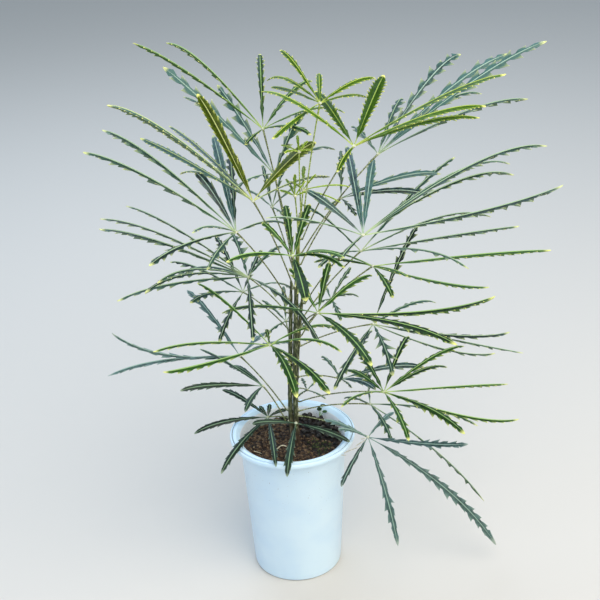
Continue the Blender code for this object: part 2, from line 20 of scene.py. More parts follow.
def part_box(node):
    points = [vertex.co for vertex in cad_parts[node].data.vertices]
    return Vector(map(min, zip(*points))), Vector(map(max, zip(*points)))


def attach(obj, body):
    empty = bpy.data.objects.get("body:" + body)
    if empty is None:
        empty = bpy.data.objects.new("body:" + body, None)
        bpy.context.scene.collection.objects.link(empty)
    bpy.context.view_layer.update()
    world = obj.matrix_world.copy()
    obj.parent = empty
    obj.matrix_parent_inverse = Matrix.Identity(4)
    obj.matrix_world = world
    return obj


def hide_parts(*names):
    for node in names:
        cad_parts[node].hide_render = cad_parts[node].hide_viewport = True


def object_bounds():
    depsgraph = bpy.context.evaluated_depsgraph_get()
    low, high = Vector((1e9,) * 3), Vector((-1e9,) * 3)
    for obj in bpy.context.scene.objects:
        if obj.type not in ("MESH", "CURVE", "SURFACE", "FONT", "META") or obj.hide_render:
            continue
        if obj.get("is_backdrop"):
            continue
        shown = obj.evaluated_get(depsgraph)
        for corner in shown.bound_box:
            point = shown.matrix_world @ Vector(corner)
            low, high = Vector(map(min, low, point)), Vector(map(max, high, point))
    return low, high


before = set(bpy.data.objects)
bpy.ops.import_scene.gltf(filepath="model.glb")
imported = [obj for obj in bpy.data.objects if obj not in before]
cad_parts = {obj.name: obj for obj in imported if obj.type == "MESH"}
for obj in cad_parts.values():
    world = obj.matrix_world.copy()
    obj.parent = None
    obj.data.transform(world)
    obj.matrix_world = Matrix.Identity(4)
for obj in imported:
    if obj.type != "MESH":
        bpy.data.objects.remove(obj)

cad_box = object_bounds()
print("nodes in the frame:", len(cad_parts))

# %% [markdown]
# ## Helpers for colours and materials
# Colours are given as sRGB hex codes, but a shader wants linear light, so one function turns them.
# A material is a few nodes, and one function adds a node with its settings and links. The other two start a
# material from the values that say most about a surface, how rough it is and how strongly it bends light,
# and link a node to its shader.

# %% Colour and material helpers
def linear(code):
    """The linear colour of an sRGB hex code."""
    parts = [int(code[i:i + 2], 16) / 255 for i in (0, 2, 4)]
    return tuple(p / 12.92 if p <= 0.04045 else ((p + 0.055) / 1.055) ** 2.4 for p in parts) + (1,)


def node(finish, kind, settings, inputs):
    """Adds a node with its settings, and with a value or another node's socket for each input named."""
    tree = finish.node_tree
    added = tree.nodes.new(kind)
    for name, value in settings.items():
        if name == "stops":
            ramp = added.color_ramp
            while len(ramp.elements) < len(value):
                ramp.elements.new(0.5)
            for element, (place, colour) in zip(ramp.elements, value):
                element.position = place
                element.color = colour if len(colour) == 4 else linear(colour)
        else:
            setattr(added, name, value)
    for name, value in inputs.items():
        if isinstance(value, bpy.types.NodeSocket):
            tree.links.new(value, added.inputs[name])
        else:
            added.inputs[name].default_value = value
    return added


def start_finish(name, roughness, ior):
    """A new material and its shader."""
    finish = bpy.data.materials.new(name)
    finish.use_nodes = True
    shader = finish.node_tree.nodes["Principled BSDF"]
    shader.inputs["Roughness"].default_value = roughness
    shader.inputs["IOR"].default_value = ior
    return finish, shader


def feed(finish, socket, source):
    finish.node_tree.links.new(source, socket)


print("white is", linear("ffffff"))

# %% [markdown]
# ## The leaf blade
# A living leaf has a waxy skin, IOR about 1.45, that is satin and not glossy. On this plant it looks dark
# green with a blue bloom, which is a thin sheen that shows where the blade turns away from the eye. The
# midrib and the leaflet's own stalk are pale, and each tooth ends in a pale bead. Where those are is known
# when the leaflet is modelled, so they are stored there in an attribute, "paint": red for the rib and green
# for a bead or the tip. Its blue is how light the blade is there. That is drawn for each leaflet, and it is
# more at the blade's edge, as a painted sheen, and underneath, partly as painted light in the shade there,
# than beside the rib. Textures instead would need a map for each of about 200 leaflets.

# %% Leaf blade materials
def leaf_blade(name, deep, light, rib, tip, bloom, shine):
    """Waxy living leaf: mottled from deep to light, with its rib and tips in their own colours."""
    finish, shader = start_finish(name, 0.42, 1.45)
    shader.inputs["Specular IOR Level"].default_value = shine
    paint = node(finish, "ShaderNodeAttribute", {"attribute_name": "paint"}, {})
    parts = node(finish, "ShaderNodeSeparateColor", {}, {"Color": paint.outputs["Color"]})
    where = node(finish, "ShaderNodeTexCoord", {}, {}).outputs["Object"]
    # The cells between veins make patches of about 5 mm.
    patches = node(finish, "ShaderNodeTexNoise", {}, {"Vector": where, "Scale": 200.0, "Detail": 3.0})
    drawn = node(finish, "ShaderNodeMath", {"operation": "MULTIPLY_ADD"},
                 {0: patches.outputs["Fac"], 1: 0.9, 2: parts.outputs["Blue"]})
    mottled = node(finish, "ShaderNodeValToRGB", {"stops": [(0.35, deep), (1.25 / 1.5, light)]},
                   {"Fac": drawn.outputs["Value"]})
    ribbed = node(finish, "ShaderNodeMix", {"data_type": "RGBA"},
                  {0: parts.outputs["Red"], 6: mottled.outputs["Color"], 7: linear(rib)})
    tipped = node(finish, "ShaderNodeMix", {"data_type": "RGBA"},
                  {0: parts.outputs["Green"], 6: ribbed.outputs[2], 7: linear(tip)})
    feed(finish, shader.inputs["Base Color"], tipped.outputs[2])
    # Side veins lift the skin by less than a tenth of a millimetre.
    veins = node(finish, "ShaderNodeTexNoise", {}, {"Vector": where, "Scale": 900.0})
    bump = node(finish, "ShaderNodeBump", {},
                {"Height": veins.outputs["Fac"], "Distance": 0.0001, "Strength": 0.5})
    feed(finish, shader.inputs["Normal"], bump.outputs["Normal"])
    shader.inputs["Sheen Weight"].default_value = bloom
    shader.inputs["Sheen Roughness"].default_value = 0.35
    shader.inputs["Sheen Tint"].default_value = linear("a8ccdc")
    return finish


BLADES = {
    "dark": leaf_blade("dark leaf blade", "091a0d", "2a4c36", "a2ba90", "d6d890", 0.25, 0.38),
    # Bluish grey, a painted sky reflection, for a dark leaf's leaflets that are turned to the viewer.
    "blue": leaf_blade("dark leaf blade with painted sky reflection", "0d1f19", "466960", "b2cab2", "d6d890", 0.42, 0.4),
    "mid": leaf_blade("green leaf blade", "0c2206", "305618", "98ba6c", "e0e084", 0.03, 0.22),
    "olive": leaf_blade("olive leaf blade", "232e00", "4c5c02", "c0c678", "e6e484", 0.0, 0.12),
    # Blue-green, a painted shade, for an olive leaf's leaflets that aren't turned to the viewer.
    "shaded": leaf_blade("shaded olive leaf blade", "12261a", "365848", "bcc884", "e0e084", 0.25, 0.4),
    "young": leaf_blade("young leaf blade", "1c3800", "385602", "a0b850", "e8e680", 0.0, 0.1),
    # Lighter, painted light, for a young leaf's leaflets that aren't turned to the viewer.
    "lit": leaf_blade("lit young leaf blade", "264402", "4e7008", "acc058", "e8e680", 0.0, 0.14),
    "new": leaf_blade("new leaf blade", "3c5e0a", "7c9a1c", "b8cc58", "ecea90", 0.0, 0.22),
    "old": leaf_blade("old leaf blade", "0b1b0e", "283f2e", "84a27a", "8a9a7c", 0.28, 0.35),
    # Pale grey-green, a painted sheen, for leaf_23 and leaf_29.
    "worn": leaf_blade("pale grey-green leaf blade with painted sheen", "1e332b", "567269", "98b49e", "a0ac9a", 0.7, 0.5),
}
print("leaf blades:", ", ".join(BLADES))

# %% [markdown]
# ## Stalks and stems
# A leaf stalk is smooth and brownish olive with many pale breathing pores, drawn as fine specks of about a
# millimetre. On the youngest leaves it is yellow-green. The stems are young wood: green skin mottled with
# brown, with pale streaks and the rings that fallen leaves leave behind, grey-brown bark where they stand
# in the soil, and a fresh yellow-green at the growing tip. The change of colour follows the height, so
# ramps on the Z of the Object coordinates draw it.

# %% Stalk and stem materials
def leaf_stalk(name, dark, middle, pores):
    """Smooth green skin with pale pores."""
    finish, shader = start_finish(name, 0.5, 1.45)
    where = node(finish, "ShaderNodeTexCoord", {}, {}).outputs["Object"]
    specks = node(finish, "ShaderNodeTexNoise", {}, {"Vector": where, "Scale": 620.0, "Detail": 1.0})
    speckled = node(finish, "ShaderNodeValToRGB",
                    {"stops": [(0.36, dark), (0.52, middle), (0.62, pores)]}, {"Fac": specks.outputs["Fac"]})
    feed(finish, shader.inputs["Base Color"], speckled.outputs["Color"])
    return finish


def leaf_knot():
    """The knot where the leaflets meet is the palest part of the leaf."""
    finish, shader = start_finish("pale leaf knot", 0.5, 1.45)
    where = node(finish, "ShaderNodeTexCoord", {}, {}).outputs["Object"]
    patches = node(finish, "ShaderNodeTexNoise", {}, {"Vector": where, "Scale": 500.0})
    pale = node(finish, "ShaderNodeValToRGB", {"stops": [(0.35, "a8ac80"), (0.65, "e4e2c6")]},
                {"Fac": patches.outputs["Fac"]})
    feed(finish, shader.inputs["Base Color"], pale.outputs["Color"])
    return finish


def green_bark():
    """Brown bark at the foot, green skin above it, and this year's yellow-green growth at the top."""
    finish, shader = start_finish("green young bark", 0.7, 1.45)
    where = node(finish, "ShaderNodeTexCoord", {}, {}).outputs["Object"]
    height = node(finish, "ShaderNodeSeparateXYZ", {}, {"Vector": where})
    # Streaks run up the stem, about 1 mm wide and 6 mm long.
    along_stem = node(finish, "ShaderNodeMapping", {}, {"Vector": where, "Scale": (1.0, 1.0, 0.18)})
    streaks = node(finish, "ShaderNodeTexNoise", {},
                   {"Vector": along_stem.outputs["Vector"], "Scale": 900.0, "Detail": 3.0})
    green = node(finish, "ShaderNodeValToRGB",
                 {"stops": [(0.32, "1d1e10"), (0.47, "3b4421"), (0.6, "606640"), (0.7, "98997a")]},
                 {"Fac": streaks.outputs["Fac"]})
    brown = node(finish, "ShaderNodeValToRGB",
                 {"stops": [(0.3, "2a1c12"), (0.5, "4e3a28"), (0.68, "7c6650")]},
                 {"Fac": streaks.outputs["Fac"]})
    # Brown turns green in the 40 mm above the soil.
    rise = node(finish, "ShaderNodeMapRange", {},
                {"Value": height.outputs["Z"], "From Min": 0.172, "From Max": 0.212})
    bark = node(finish, "ShaderNodeMix", {"data_type": "RGBA"},
                {0: rise.outputs["Result"], 6: brown.outputs["Color"], 7: green.outputs["Color"]})
    fresh = node(finish, "ShaderNodeValToRGB",
                 {"stops": [(0.32, "5a681c"), (0.5, "8a9a3a"), (0.68, "b6c070")]},
                 {"Fac": streaks.outputs["Fac"]})
    # Only the tallest stem reaches up to the height of this year's growth.
    growth = node(finish, "ShaderNodeMapRange", {},
                  {"Value": height.outputs["Z"], "From Min": 0.385, "From Max": 0.43})
    skin = node(finish, "ShaderNodeMix", {"data_type": "RGBA"},
                {0: growth.outputs["Result"], 6: bark.outputs[2], 7: fresh.outputs["Color"]})
    feed(finish, shader.inputs["Base Color"], skin.outputs[2])
    bump = node(finish, "ShaderNodeBump", {},
                {"Height": streaks.outputs["Fac"], "Distance": 0.0004, "Strength": 0.7})
    feed(finish, shader.inputs["Normal"], bump.outputs["Normal"])
    return finish


STALK = leaf_stalk("green leaf stalk", "4a4f28", "727a44", "acb184")
FRESH_STALK = leaf_stalk("fresh leaf stalk", "74862a", "94a446", "c2cc88")
KNOT = leaf_knot()
BARK = green_bark()
print("stalks and stems:", STALK.name, FRESH_STALK.name, KNOT.name, BARK.name)

# %% [markdown]
# ## Moulded white plastic
# The pot is injection-moulded polypropylene, IOR 1.49: smooth, satin, with a faint cool white and a mould's
# soft unevenness. Its inside is painted a brighter white than the outside, as painted light against the
# shade of the rim and the plant there, and splashes of soil have left specks there. Its fine lip groove is
# painted grey, a painted shade for the shadow in it. Patches and specks follow the place on the pot, so
# Object coordinates serve, and the faces of the inside and of the groove have materials of their own.

# %% Pot materials
def white_plastic(name, clean, worn, splash, low):
    """Satin polypropylene, worn in broad patches, with specks of soil above the height low, in metres."""
    finish, shader = start_finish(name, 0.32, 1.49)
    # Its 2 mm wall lets a little light through.
    shader.inputs["Subsurface Weight"].default_value = 0.35
    shader.inputs["Subsurface Radius"].default_value = (1.0, 1.0, 1.0)
    shader.inputs["Subsurface Scale"].default_value = 0.003
    where = node(finish, "ShaderNodeTexCoord", {}, {}).outputs["Object"]
    broad = node(finish, "ShaderNodeTexNoise", {}, {"Vector": where, "Scale": 25.0, "Detail": 2.0})
    white = node(finish, "ShaderNodeValToRGB", {"stops": [(0.3, worn), (0.6, clean)]},
                 {"Fac": broad.outputs["Fac"]})
    # Specks of soil are under a millimetre.
    dots = node(finish, "ShaderNodeTexNoise", {}, {"Vector": where, "Scale": 750.0, "Detail": 1.0})
    specks = node(finish, "ShaderNodeValToRGB", {"stops": [(splash, "000000"), (splash + 0.03, "ffffff")]},
                  {"Fac": dots.outputs["Fac"]})
    height = node(finish, "ShaderNodeSeparateXYZ", {}, {"Vector": where})
    above = node(finish, "ShaderNodeMath", {"operation": "GREATER_THAN"}, {0: height.outputs["Z"], 1: low})
    amount = node(finish, "ShaderNodeMath", {"operation": "MULTIPLY"},
                  {0: specks.outputs["Color"], 1: above.outputs["Value"]})
    dirty = node(finish, "ShaderNodeMix", {"data_type": "RGBA"},
                 {0: amount.outputs["Value"], 6: white.outputs["Color"], 7: linear("6b5a48")})
    feed(finish, shader.inputs["Base Color"], dirty.outputs[2])
    uneven = node(finish, "ShaderNodeTexNoise", {}, {"Vector": where, "Scale": 60.0})
    bump = node(finish, "ShaderNodeBump", {},
                {"Height": uneven.outputs["Fac"], "Distance": 0.0003, "Strength": 0.15})
    feed(finish, shader.inputs["Normal"], bump.outputs["Normal"])
    return finish


POT_OUTER = white_plastic("white polypropylene", "def3ff", "d6edfd", 0.77, 0.1)
# The groove's grey is a painted shade for the shadow in the fine groove of the lip.
POT_GROOVE = white_plastic("white polypropylene painted grey in the groove", "9fabae", "8b969a", 0.7, 0.1)
# The inside's white is brighter than the outer one: painted light against the shade inside the pot.
POT_INNER = white_plastic("white polypropylene painted lighter inside", "fafefc", "f0f6f2", 0.72, 0.15)
print("pot:", POT_OUTER.name, "-", POT_GROOVE.name, "-", POT_INNER.name)

# %% [markdown]
# ## Potting mix
# The mix is bark, peat crumbs and grains of pumice. Its ground is dark peat and rough all over, painted
# darker than peat alone as a painted shade in the gaps between grains. Each kind of grain is a material of
# its own whose tone varies from grain to grain, because noise as broad as a grain gives neighbours different
# tones without storing any.

# %% Soil materials
def grain(name, dark, middle, light, roughness):
    """A crumb of the mix, with tones about 4 mm apart and a rough skin."""
    finish, shader = start_finish(name, roughness, 1.5)
    where = node(finish, "ShaderNodeTexCoord", {}, {}).outputs["Object"]
    tones = node(finish, "ShaderNodeTexNoise", {}, {"Vector": where, "Scale": 260.0, "Detail": 4.0})
    colour = node(finish, "ShaderNodeValToRGB", {"stops": [(0.34, dark), (0.5, middle), (0.66, light)]},
                  {"Fac": tones.outputs["Fac"]})
    feed(finish, shader.inputs["Base Color"], colour.outputs["Color"])
    rough = node(finish, "ShaderNodeTexNoise", {}, {"Vector": where, "Scale": 1500.0, "Detail": 2.0})
    bump = node(finish, "ShaderNodeBump", {},
                {"Height": rough.outputs["Fac"], "Distance": 0.0005, "Strength": 0.6})
    feed(finish, shader.inputs["Normal"], bump.outputs["Normal"])
    return finish


# The peat is painted darker than it is, partly a painted shade for the gaps between grains.
PEAT = grain("dark peat", "0c0806", "1f150f", "38271c", 0.95)
BARK_BIT = grain("crumbled bark", "1a120b", "44311f", "7d6445", 0.9)
PUMICE = grain("pumice grains", "6e5b46", "93805f", "c0b08c", 0.9)
CLOD = grain("dark peat clods", "0c0b0a", "211d19", "4e4841", 0.85)
MOSS = grain("moss", "22240f", "39401c", "565e2e", 0.95)
ROOT = grain("pale root", "a49a7c", "cdc3a4", "e6dec4", 0.7)
print("soil:", PEAT.name, BARK_BIT.name, PUMICE.name, CLOD.name, MOSS.name, ROOT.name)

# %% [markdown]
# ## Sizes
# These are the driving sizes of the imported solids, in mm. The finer pieces below follow the same ones, so
# the dressed plant keeps its form: a tall pot of 148 mm at its rim, the mix a little under the rim, three
# stems.

# %% Sizes of the pot, the soil, the stems and the seedling
MM = 0.001
UP = Vector((0, 0, 1))
GAP = 0.35 * MM  # between pieces that touch on the real plant

# The pot: radius and height of its turned outline, in mm.
POT_SIDES = 40
POT_OUTSIDE = [(50.5, 0), (52.4, 1.2), (53.1, 4), (62.6, 171.5), (65, 177.4), (71.8, 177.8), (72.4, 175)]
POT_LIP = [(74, 175), (74.2, 179), (73.4, 180), (71.6, 180), (71.2, 180.7), (67, 180.7), (62.2, 177)]
POT_INSIDE = [(60.3, 171), (50.8, 5.5), (48.5, 3)]
POT_OUTLINE = [(0, 0)] + POT_OUTSIDE + POT_LIP + POT_INSIDE + [(0, 3)]

# The soil fills the pot to this height, in mm, with clods that rise towards the back right.
SOIL_TOP = 162.5
SOIL_SPOKES = 24
SOIL_RINGS = [10, 22, 34, 46, 54]
CLOD_RISE = 3.0

# Stems: (across, back, height, radius) in mm, from the soil up.
STEMS = {
    "main": [(5.1, 0, 120.4, 3), (5.1, 0, 168, 3), (5.3, -1, 220, 3), (7.7, -1, 280, 2.9),
             (11, 0, 340, 2.6), (15, 0, 400, 2.2), (18.5, 0, 436, 1.7), (20, 0, 456, 1.1)],
    "left": [(-1.1, 1, 120.4, 2.7), (-1.1, 1, 168, 2.7), (-0.7, 1, 220, 2.7), (2, 2, 280, 2.5),
             (5, 4, 335, 2.1), (7, 6, 372, 1.2)],
    "back": [(3, 8.5, 120.4, 2.6), (3, 8.5, 168, 2.6), (6, 9, 220, 2.5), (10.5, 9, 280, 2.3),
             (16, 9, 330, 1.9), (21, 8, 362, 1.2)],
}
STEM_SIDES = 8

# The seedling: its foot (across, back), its height, and the middle of each round leaf, in mm.
SEEDLING_FOOT = (33.5, 42)
SEEDLING_FORK = 173.5  # mm, where its leaves part
SEEDLING_LEAVES = [(33.5, 45, 181.3), (40, 43, 178.5), (38, 48.5, 184.5)]
SEEDLING_LEAF = 3.0  # mm, radius
print("stems:", ", ".join(STEMS))

# %% [markdown]
# ## Where the leaves are
# A leaf is easiest to place as it is seen. The places are given on a flat sheet in front of the eye, and
# each one is a sight line, with a distance along it as the third number. The tips of the leaflets are read
# off in the same way. How deep a tip lies follows from how long its leaflet is.

# %% The sheet and the leaves on it
# The sheet is 600 units square, with x to the right and y down. The sight line of a place on it meets the
# plane Y = 0, and the third number, in mm, brings the point nearer to the eye along that line.
EYE = Vector((16, -1216, 934))
SIGHT = 1200  # sheet units in one unit of distance
LOOK_DOWN = math.radians(25.6)
SHEET_TURN = math.radians(-2.56)
SHEET_SIZE = 600
SHEET_MIDDLE = SHEET_SIZE // 2
# name: hub (x, y, near), stem and height in mm where the leaf stalk leaves it, reach in mm of the longest
# leaflets, greatest width in mm, tone, and the tips of the leaflets. A tip is (x, y), and optionally how
# much nearer than the hub it is, how far its leaflet arches as a part of its length, and the leaflet's width
# in mm: more than 0 where it is turned to the viewer, less than 0 where it is seen on edge. The reach
# decides the first of these where it isn't given, and draws decide the other two.
LEAVES = {
    "leaf_01": ((263, 129, -45), ("main", 384), 150, 11, "mid",
                [(260, 54), (166, 43, None, 0.22, -9), (133, 43, None, None, -9), (312, 81), (345, 113),
                 (311, 135), (245, 145)]),
    "leaf_02": ((320, 103, -12), ("main", 444), 90, 11, "young",
                [(280, 50), (271, 87), (267, 81, None, 0.3), (319, 73), (375, 78), (368, 98),
                 (272, 139, 40)]),
    "leaf_03": ((299, 152, 6), ("main", 452), 30, 5, "young",
                [(281, 145), (297, 135), (308, 141), (313, 152), (284, 153)]),
    "leaf_04": ((354, 146, 42), ("main", 426), 160, 14, "young",
                [(384, 75, None, 0.05, 17), (315, 91, None, 0.08, 13), (261, 92), (506, 74), (486, 106),
                 (480, 118), (337, 172)]),
    "leaf_05": ((378, 154, -48), ("main", 408), 190, 14, "dark",
                [(461, 54, None, 0.18, 13), (509, 54, None, 0.14, 13), (547, 41, None, 0.1, 12),
                 (528, 99, None, None, -9), (482, 94), (402, 98), (352, 126)]),
    "leaf_06": ((274, 174, -22), ("main", 396), 160, 13, "dark",
                [(163, 67, None, 0.06, 13), (217, 85, None, 0.08, 12), (183, 97), (300, 110), (335, 150),
                 (235, 190)]),
    "leaf_07": ((253, 201, 62), ("main", 368), 170, 11, "olive",
                [(197, 94, None, 0.1, 13), (316, 142, None, 0.1, 15), (127, 112, None, None, -9),
                 (107, 105, None, None, -9), (169, 126, None, 0.2), (140, 138), (180, 174),
                 (330, 177, None, None, -8), (227, 149, None, None, 9)]),
    "leaf_08": ((272, 207, -75), ("main", 390), 80, 8, "dark",
                [(262, 165), (288, 160), (304, 182), (247, 190), (290, 222)]),
    "leaf_09": ((295, 196, 10), ("main", 436), 36, 5, "young",
                [(286, 179), (295, 174), (306, 181), (311, 191), (280, 190)]),
    "leaf_10": ((303, 190, -6), ("main", 443), 44, 5, "young",
                [(304, 166), (316, 174), (350, 187), (341, 203), (290, 182)]),
    "leaf_11": ((341, 198, -30), ("main", 394), 115, 9, "dark",
                [(441, 174, None, None, 9), (432, 197, None, None, 10), (341, 150), (324, 210),
                 (356, 216)]),
    "leaf_12": ((236, 232, 50), ("left", 352), 190, 12, "dark",
                [(83, 152, None, None, -12), (102, 130, None, 0.16, -11), (149, 266), (192, 233),
                 (207, 270), (230, 150), (213, 135, None, 0.06, 13), (292, 228),
                 (195, 172, -40, None, 12)]),
    "leaf_13": ((363, 235, 60), ("back", 344), 235, 13, "dark",
                [(346, 146, None, None, 12), (355, 184, None, None, 10), (374, 158, None, None, 12),
                 (547, 146, None, None, -13), (510, 164), (514, 175, None, None, -10),
                 (563, 185, None, -0.05, -14), (266, 218, 10, 0.12, -8), (305, 190, -60, None, 10),
                 (340, 260)]),
    "leaf_14": ((361, 251, -45), ("back", 326), 200, 12, "dark",
                [(455, 157), (491, 217, None, 0.18, -9), (519, 226, None, 0.02, -9),
                 (469, 269, None, None, -8), (300, 204, -40), (318, 268)]),
    "leaf_15": ((373, 266, 8), ("back", 312), 200, 11, "mid",
                [(551, 250, None, 0.03, -11), (489, 287, None, -0.05, -9), (408, 277), (393, 298),
                 (314, 262, None, None, -8), (300, 256, None, None, -8)]),
    "leaf_16": ((293, 256, 88), ("main", 378), 110, 18, "mid",
                [(226, 262, None, None, -12), (306, 301, None, 0.12, 18), (285, 205), (262, 222),
                 (310, 204), (345, 258), (345, 268, None, None, -8)]),
    "leaf_17": ((248, 277, -12), ("left", 334), 180, 12, "dark",
                [(100, 219, None, None, -10), (99, 229, None, None, -10), (126, 206, None, None, -8),
                 (157, 283, None, None, -9), (145, 293), (117, 301), (182, 276), (253, 341), (232, 232),
                 (282, 246), (321, 346, 90, 0.3)]),
    "leaf_18": ((243, 292, -88), ("left", 312), 130, 11, "dark",
                [(190, 303), (170, 262), (215, 236), (262, 250), (294, 290), (219, 343)]),
    "leaf_19": ((286, 321, -70), ("left", 292), 70, 8, "dark",
                [(262, 300), (284, 286), (306, 300), (264, 338), (309, 331)]),
    "leaf_20": ((318, 313, 100), ("main", 302), 190, 17, "mid",
                [(495, 296, None, -0.1, -12), (457, 345), (372, 366, None, 0.14, 13), (222, 313),
                 (290, 268), (330, 262), (372, 275)]),
    "leaf_21": ((373, 324, -50), ("back", 288), 160, 12, "dark",
                [(510, 332, None, -0.1), (523, 353, None, 0.0, -8), (495, 353, None, -0.14, -9),
                 (436, 303), (393, 376), (334, 390), (420, 222)]),
    "leaf_22": ((270, 345, 82), ("left", 268), 150, 15, "mid",
                [(163, 372, None, -0.03, -10), (153, 352, None, 0.12, -10), (197, 283, None, None, -8),
                 (266, 329), (345, 334, None, 0.25, -7), (342, 352, None, None, -7),
                 (297, 398, None, 0.25), (330, 394)]),
    "leaf_23": ((240, 356, -40), ("left", 207), 150, 12, "dark",
                [(108, 376, None, None, -9), (112, 333, None, -0.2), (187, 290), (290, 343), (272, 331)]),
    "leaf_24": ((263, 386, 12), ("left", 192), 110, 11, "dark",
                [(180, 391, None, None, 9), (245, 412, None, None, 9), (200, 349, None, 0.1, -7),
                 (229, 366)]),
    "leaf_25": ((341, 379, -70), ("back", 246), 110, 11, "dark",
                [(425, 368, None, None, 10), (376, 390, None, None, 10), (352, 388), (372, 330),
                 (322, 356)]),
    "leaf_26": ((384, 392, 58), ("back", 216), 165, 13, "mid",
                [(508, 384, None, 0.02, -9), (464, 346), (447, 367), (409, 336), (358, 352), (346, 370),
                 (341, 407), (409, 441), (519, 419, None, -0.12, -9), (465, 434)]),
    "leaf_27": ((370, 404, -24), ("main", 207), 150, 10, "dark",
                [(484, 501, None, None, -8), (392, 441), (344, 398), (478, 426), (366, 366)]),
    "leaf_28": ((307, 390, -48), ("main", 234), 45, 6, "dark",
                [(318, 380), (302, 378), (326, 399), (296, 398)]),
    "leaf_29": ((368, 437, 48), ("main", 206), 190, 14, "dark",
                [(496, 545, None, None, 14), (398, 546, None, None, 12), (341, 487, 34, None, 10),
                 (468, 444, None, -0.04, 10), (394, 412), (324, 419, -24), (338, 429, 8)]),
    "leaf_30": ((268, 417, -26), ("left", 196), 105, 12, "dark",
                [(194, 434, 20, None, 9), (221, 474, 74, None, 10), (276, 467, 108, None, 9),
                 (259, 406, -14, None, 6), (270, 404, -12, None, 7), (287, 410, -8, None, 6),
                 (222, 390, -60, None, 8)]),
    "leaf_31": ((296, 423, 14), ("main", 186), 75, 11, "dark",
                [(252, 424, 12, None, 9), (287, 477, 84, None, 11), (350, 442, 30, None, 9)]),
    "leaf_32": ((331, 299, -62), ("back", 300), 60, 8, "dark",
                [(359, 297), (351, 267), (322, 279), (313, 307), (341, 321)]),
}
LEAFLET_STALK = 0.9  # mm, half the width of a leaflet's own thin stalk
RIB_DEEP = 1.1  # mm, how far the rib stands above the line between the blade's edges, at least
FOLD = 0.42  # the same as a part of the blade's half width, because the blade folds down from its rib
LEAFLET_CREST = 0.7  # where along a leaflet it bends most
ARCHES = (0.1, 0.2)  # how far a leaflet arches, drawn between these parts of its length
TILTS = (-14, 12)  # degrees, how far it leans to the viewer, drawn between these
VIEWER_TILT = 42  # degrees, the same for a leaflet that is turned to the viewer
EDGE_TILT = -24  # degrees, the same for a leaflet that is seen on edge
LEANS = 0.25  # how far it leans to either side
WIDTHS = (0.85, 1.1)  # its width, drawn between these parts of its leaf's greatest
SLENDER = 0.16  # the greatest width as a part of the length that is seen, beyond 3 mm
TOOTH_PITCH = 20.5  # mm of leaflet for each tooth
HUB_RADIUS = 2.4  # mm
ROOT_OFF = 0.7  # mm, from the hub's middle to the sunk end of each leaflet
STALK_RADIUS = 1.25  # mm, the leaf stalk
STALK_FACING = Vector((0.31, -0.95, 0.05)).normalized()  # a direction that no stalk or stem runs along
CLEAR = 0.45  # mm, the air kept round every stalk and leaflet
print("leaves:", len(LEAVES), "with", sum(len(lay[5]) for lay in LEAVES.values()), "leaflets")

# %% [markdown]
# ## Curves, rods and sight lines
# A few rules turn those numbers into points in space: a curve with one bend, the frame along a path, a tube
# around it, the width along a leaflet, and the point of a sight line at a given depth.

# %% Rules for shapes
def turned(outline, sides):
    """Points and faces of an outline of (radius, height) turned round Z. A radius of 0 is one point."""
    points = []
    rows = []
    for radius, height in outline:
        if radius == 0:
            rows.append([len(points)] * sides)
            points.append((0, 0, height))
            continue
        rows.append(list(range(len(points), len(points) + sides)))
        for i in range(sides):
            turn = math.tau * i / sides
            points.append((radius * math.cos(turn), radius * math.sin(turn), height))
    faces = []
    for low, high in zip(rows, rows[1:]):
        for i in range(sides):
            j = (i + 1) % sides
            corners = [low[i], low[j], high[j], high[i]]
            faces.append([c for k, c in enumerate(corners) if c != corners[k - 1]])
    return points, faces


def along(start, bend, end, t):
    """A point of the curve from start to end that bend pulls to its side."""
    return start * (1 - t) ** 2 + bend * (2 * t * (1 - t)) + end * t**2


def frames(path, facing):
    """(point, ahead, side, face) at each point of a path, with face as near to facing as it can be."""
    found = []
    for i, point in enumerate(path):
        ahead = (path[min(i + 1, len(path) - 1)] - path[max(i - 1, 0)]).normalized()
        side = ahead.cross(facing).normalized()
        found.append((point, ahead, side, side.cross(ahead)))
    return found


def tube(path, radii, sides):
    """Points and faces of a closed tube along a path."""
    points = []
    for (point, _, side, face), radius in zip(frames(path, STALK_FACING), radii):
        for i in range(sides):
            turn = math.tau * (i + 0.5) / sides
            points.append(point + side * (radius * math.cos(turn)) + face * (radius * math.sin(turn)))
    last = sides * (len(path) - 1)
    faces = [list(range(sides)), [last + i for i in range(sides)][::-1]]
    for row in range(len(path) - 1):
        for i in range(sides):
            j = (i + 1) % sides
            low = sides * row
            faces.append([low + j, low + i, low + sides + i, low + sides + j])
    return points, faces


def half_width(t, width):
    """Half the width in mm of a leaflet at t along it, out to its teeth."""
    if t < 0.1:
        return LEAFLET_STALK
    swell = math.sin(math.pi * min((t - 0.04) / 0.98, 1) ** 1.25)
    return max(LEAFLET_STALK, width / 2 * (0.3 + 0.7 * swell) * (1 if t < 0.9 else 0.75))


def place(x, y, near):
    """The point in mm that a place on the sheet stands for."""
    right = Vector((1, 0, 0))
    over = Vector((0, math.sin(LOOK_DOWN), math.cos(LOOK_DOWN)))
    ahead = Vector((0, math.cos(LOOK_DOWN), -math.sin(LOOK_DOWN)))
    dx = x - SHEET_MIDDLE
    dy = y - SHEET_MIDDLE
    u = dx * math.cos(SHEET_TURN) + dy * math.sin(SHEET_TURN)
    v = dy * math.cos(SHEET_TURN) - dx * math.sin(SHEET_TURN)
    sight = (ahead * SIGHT + right * u - over * v).normalized()
    return EYE + sight * (-EYE.y / sight.y - near)


def soil_height(x, y):
    """Height in mm of the soil's top."""
    clods = noise.noise(Vector((x, y, 7)) / 11) * CLOD_RISE
    rise = 5 * max(0, (x + y) / 85)
    return SOIL_TOP + clods + rise


def pot_inside(height):
    (wide, top), (narrow, low) = POT_INSIDE[0], POT_INSIDE[1]
    return narrow + (wide - narrow) * (height - low) / (top - low)


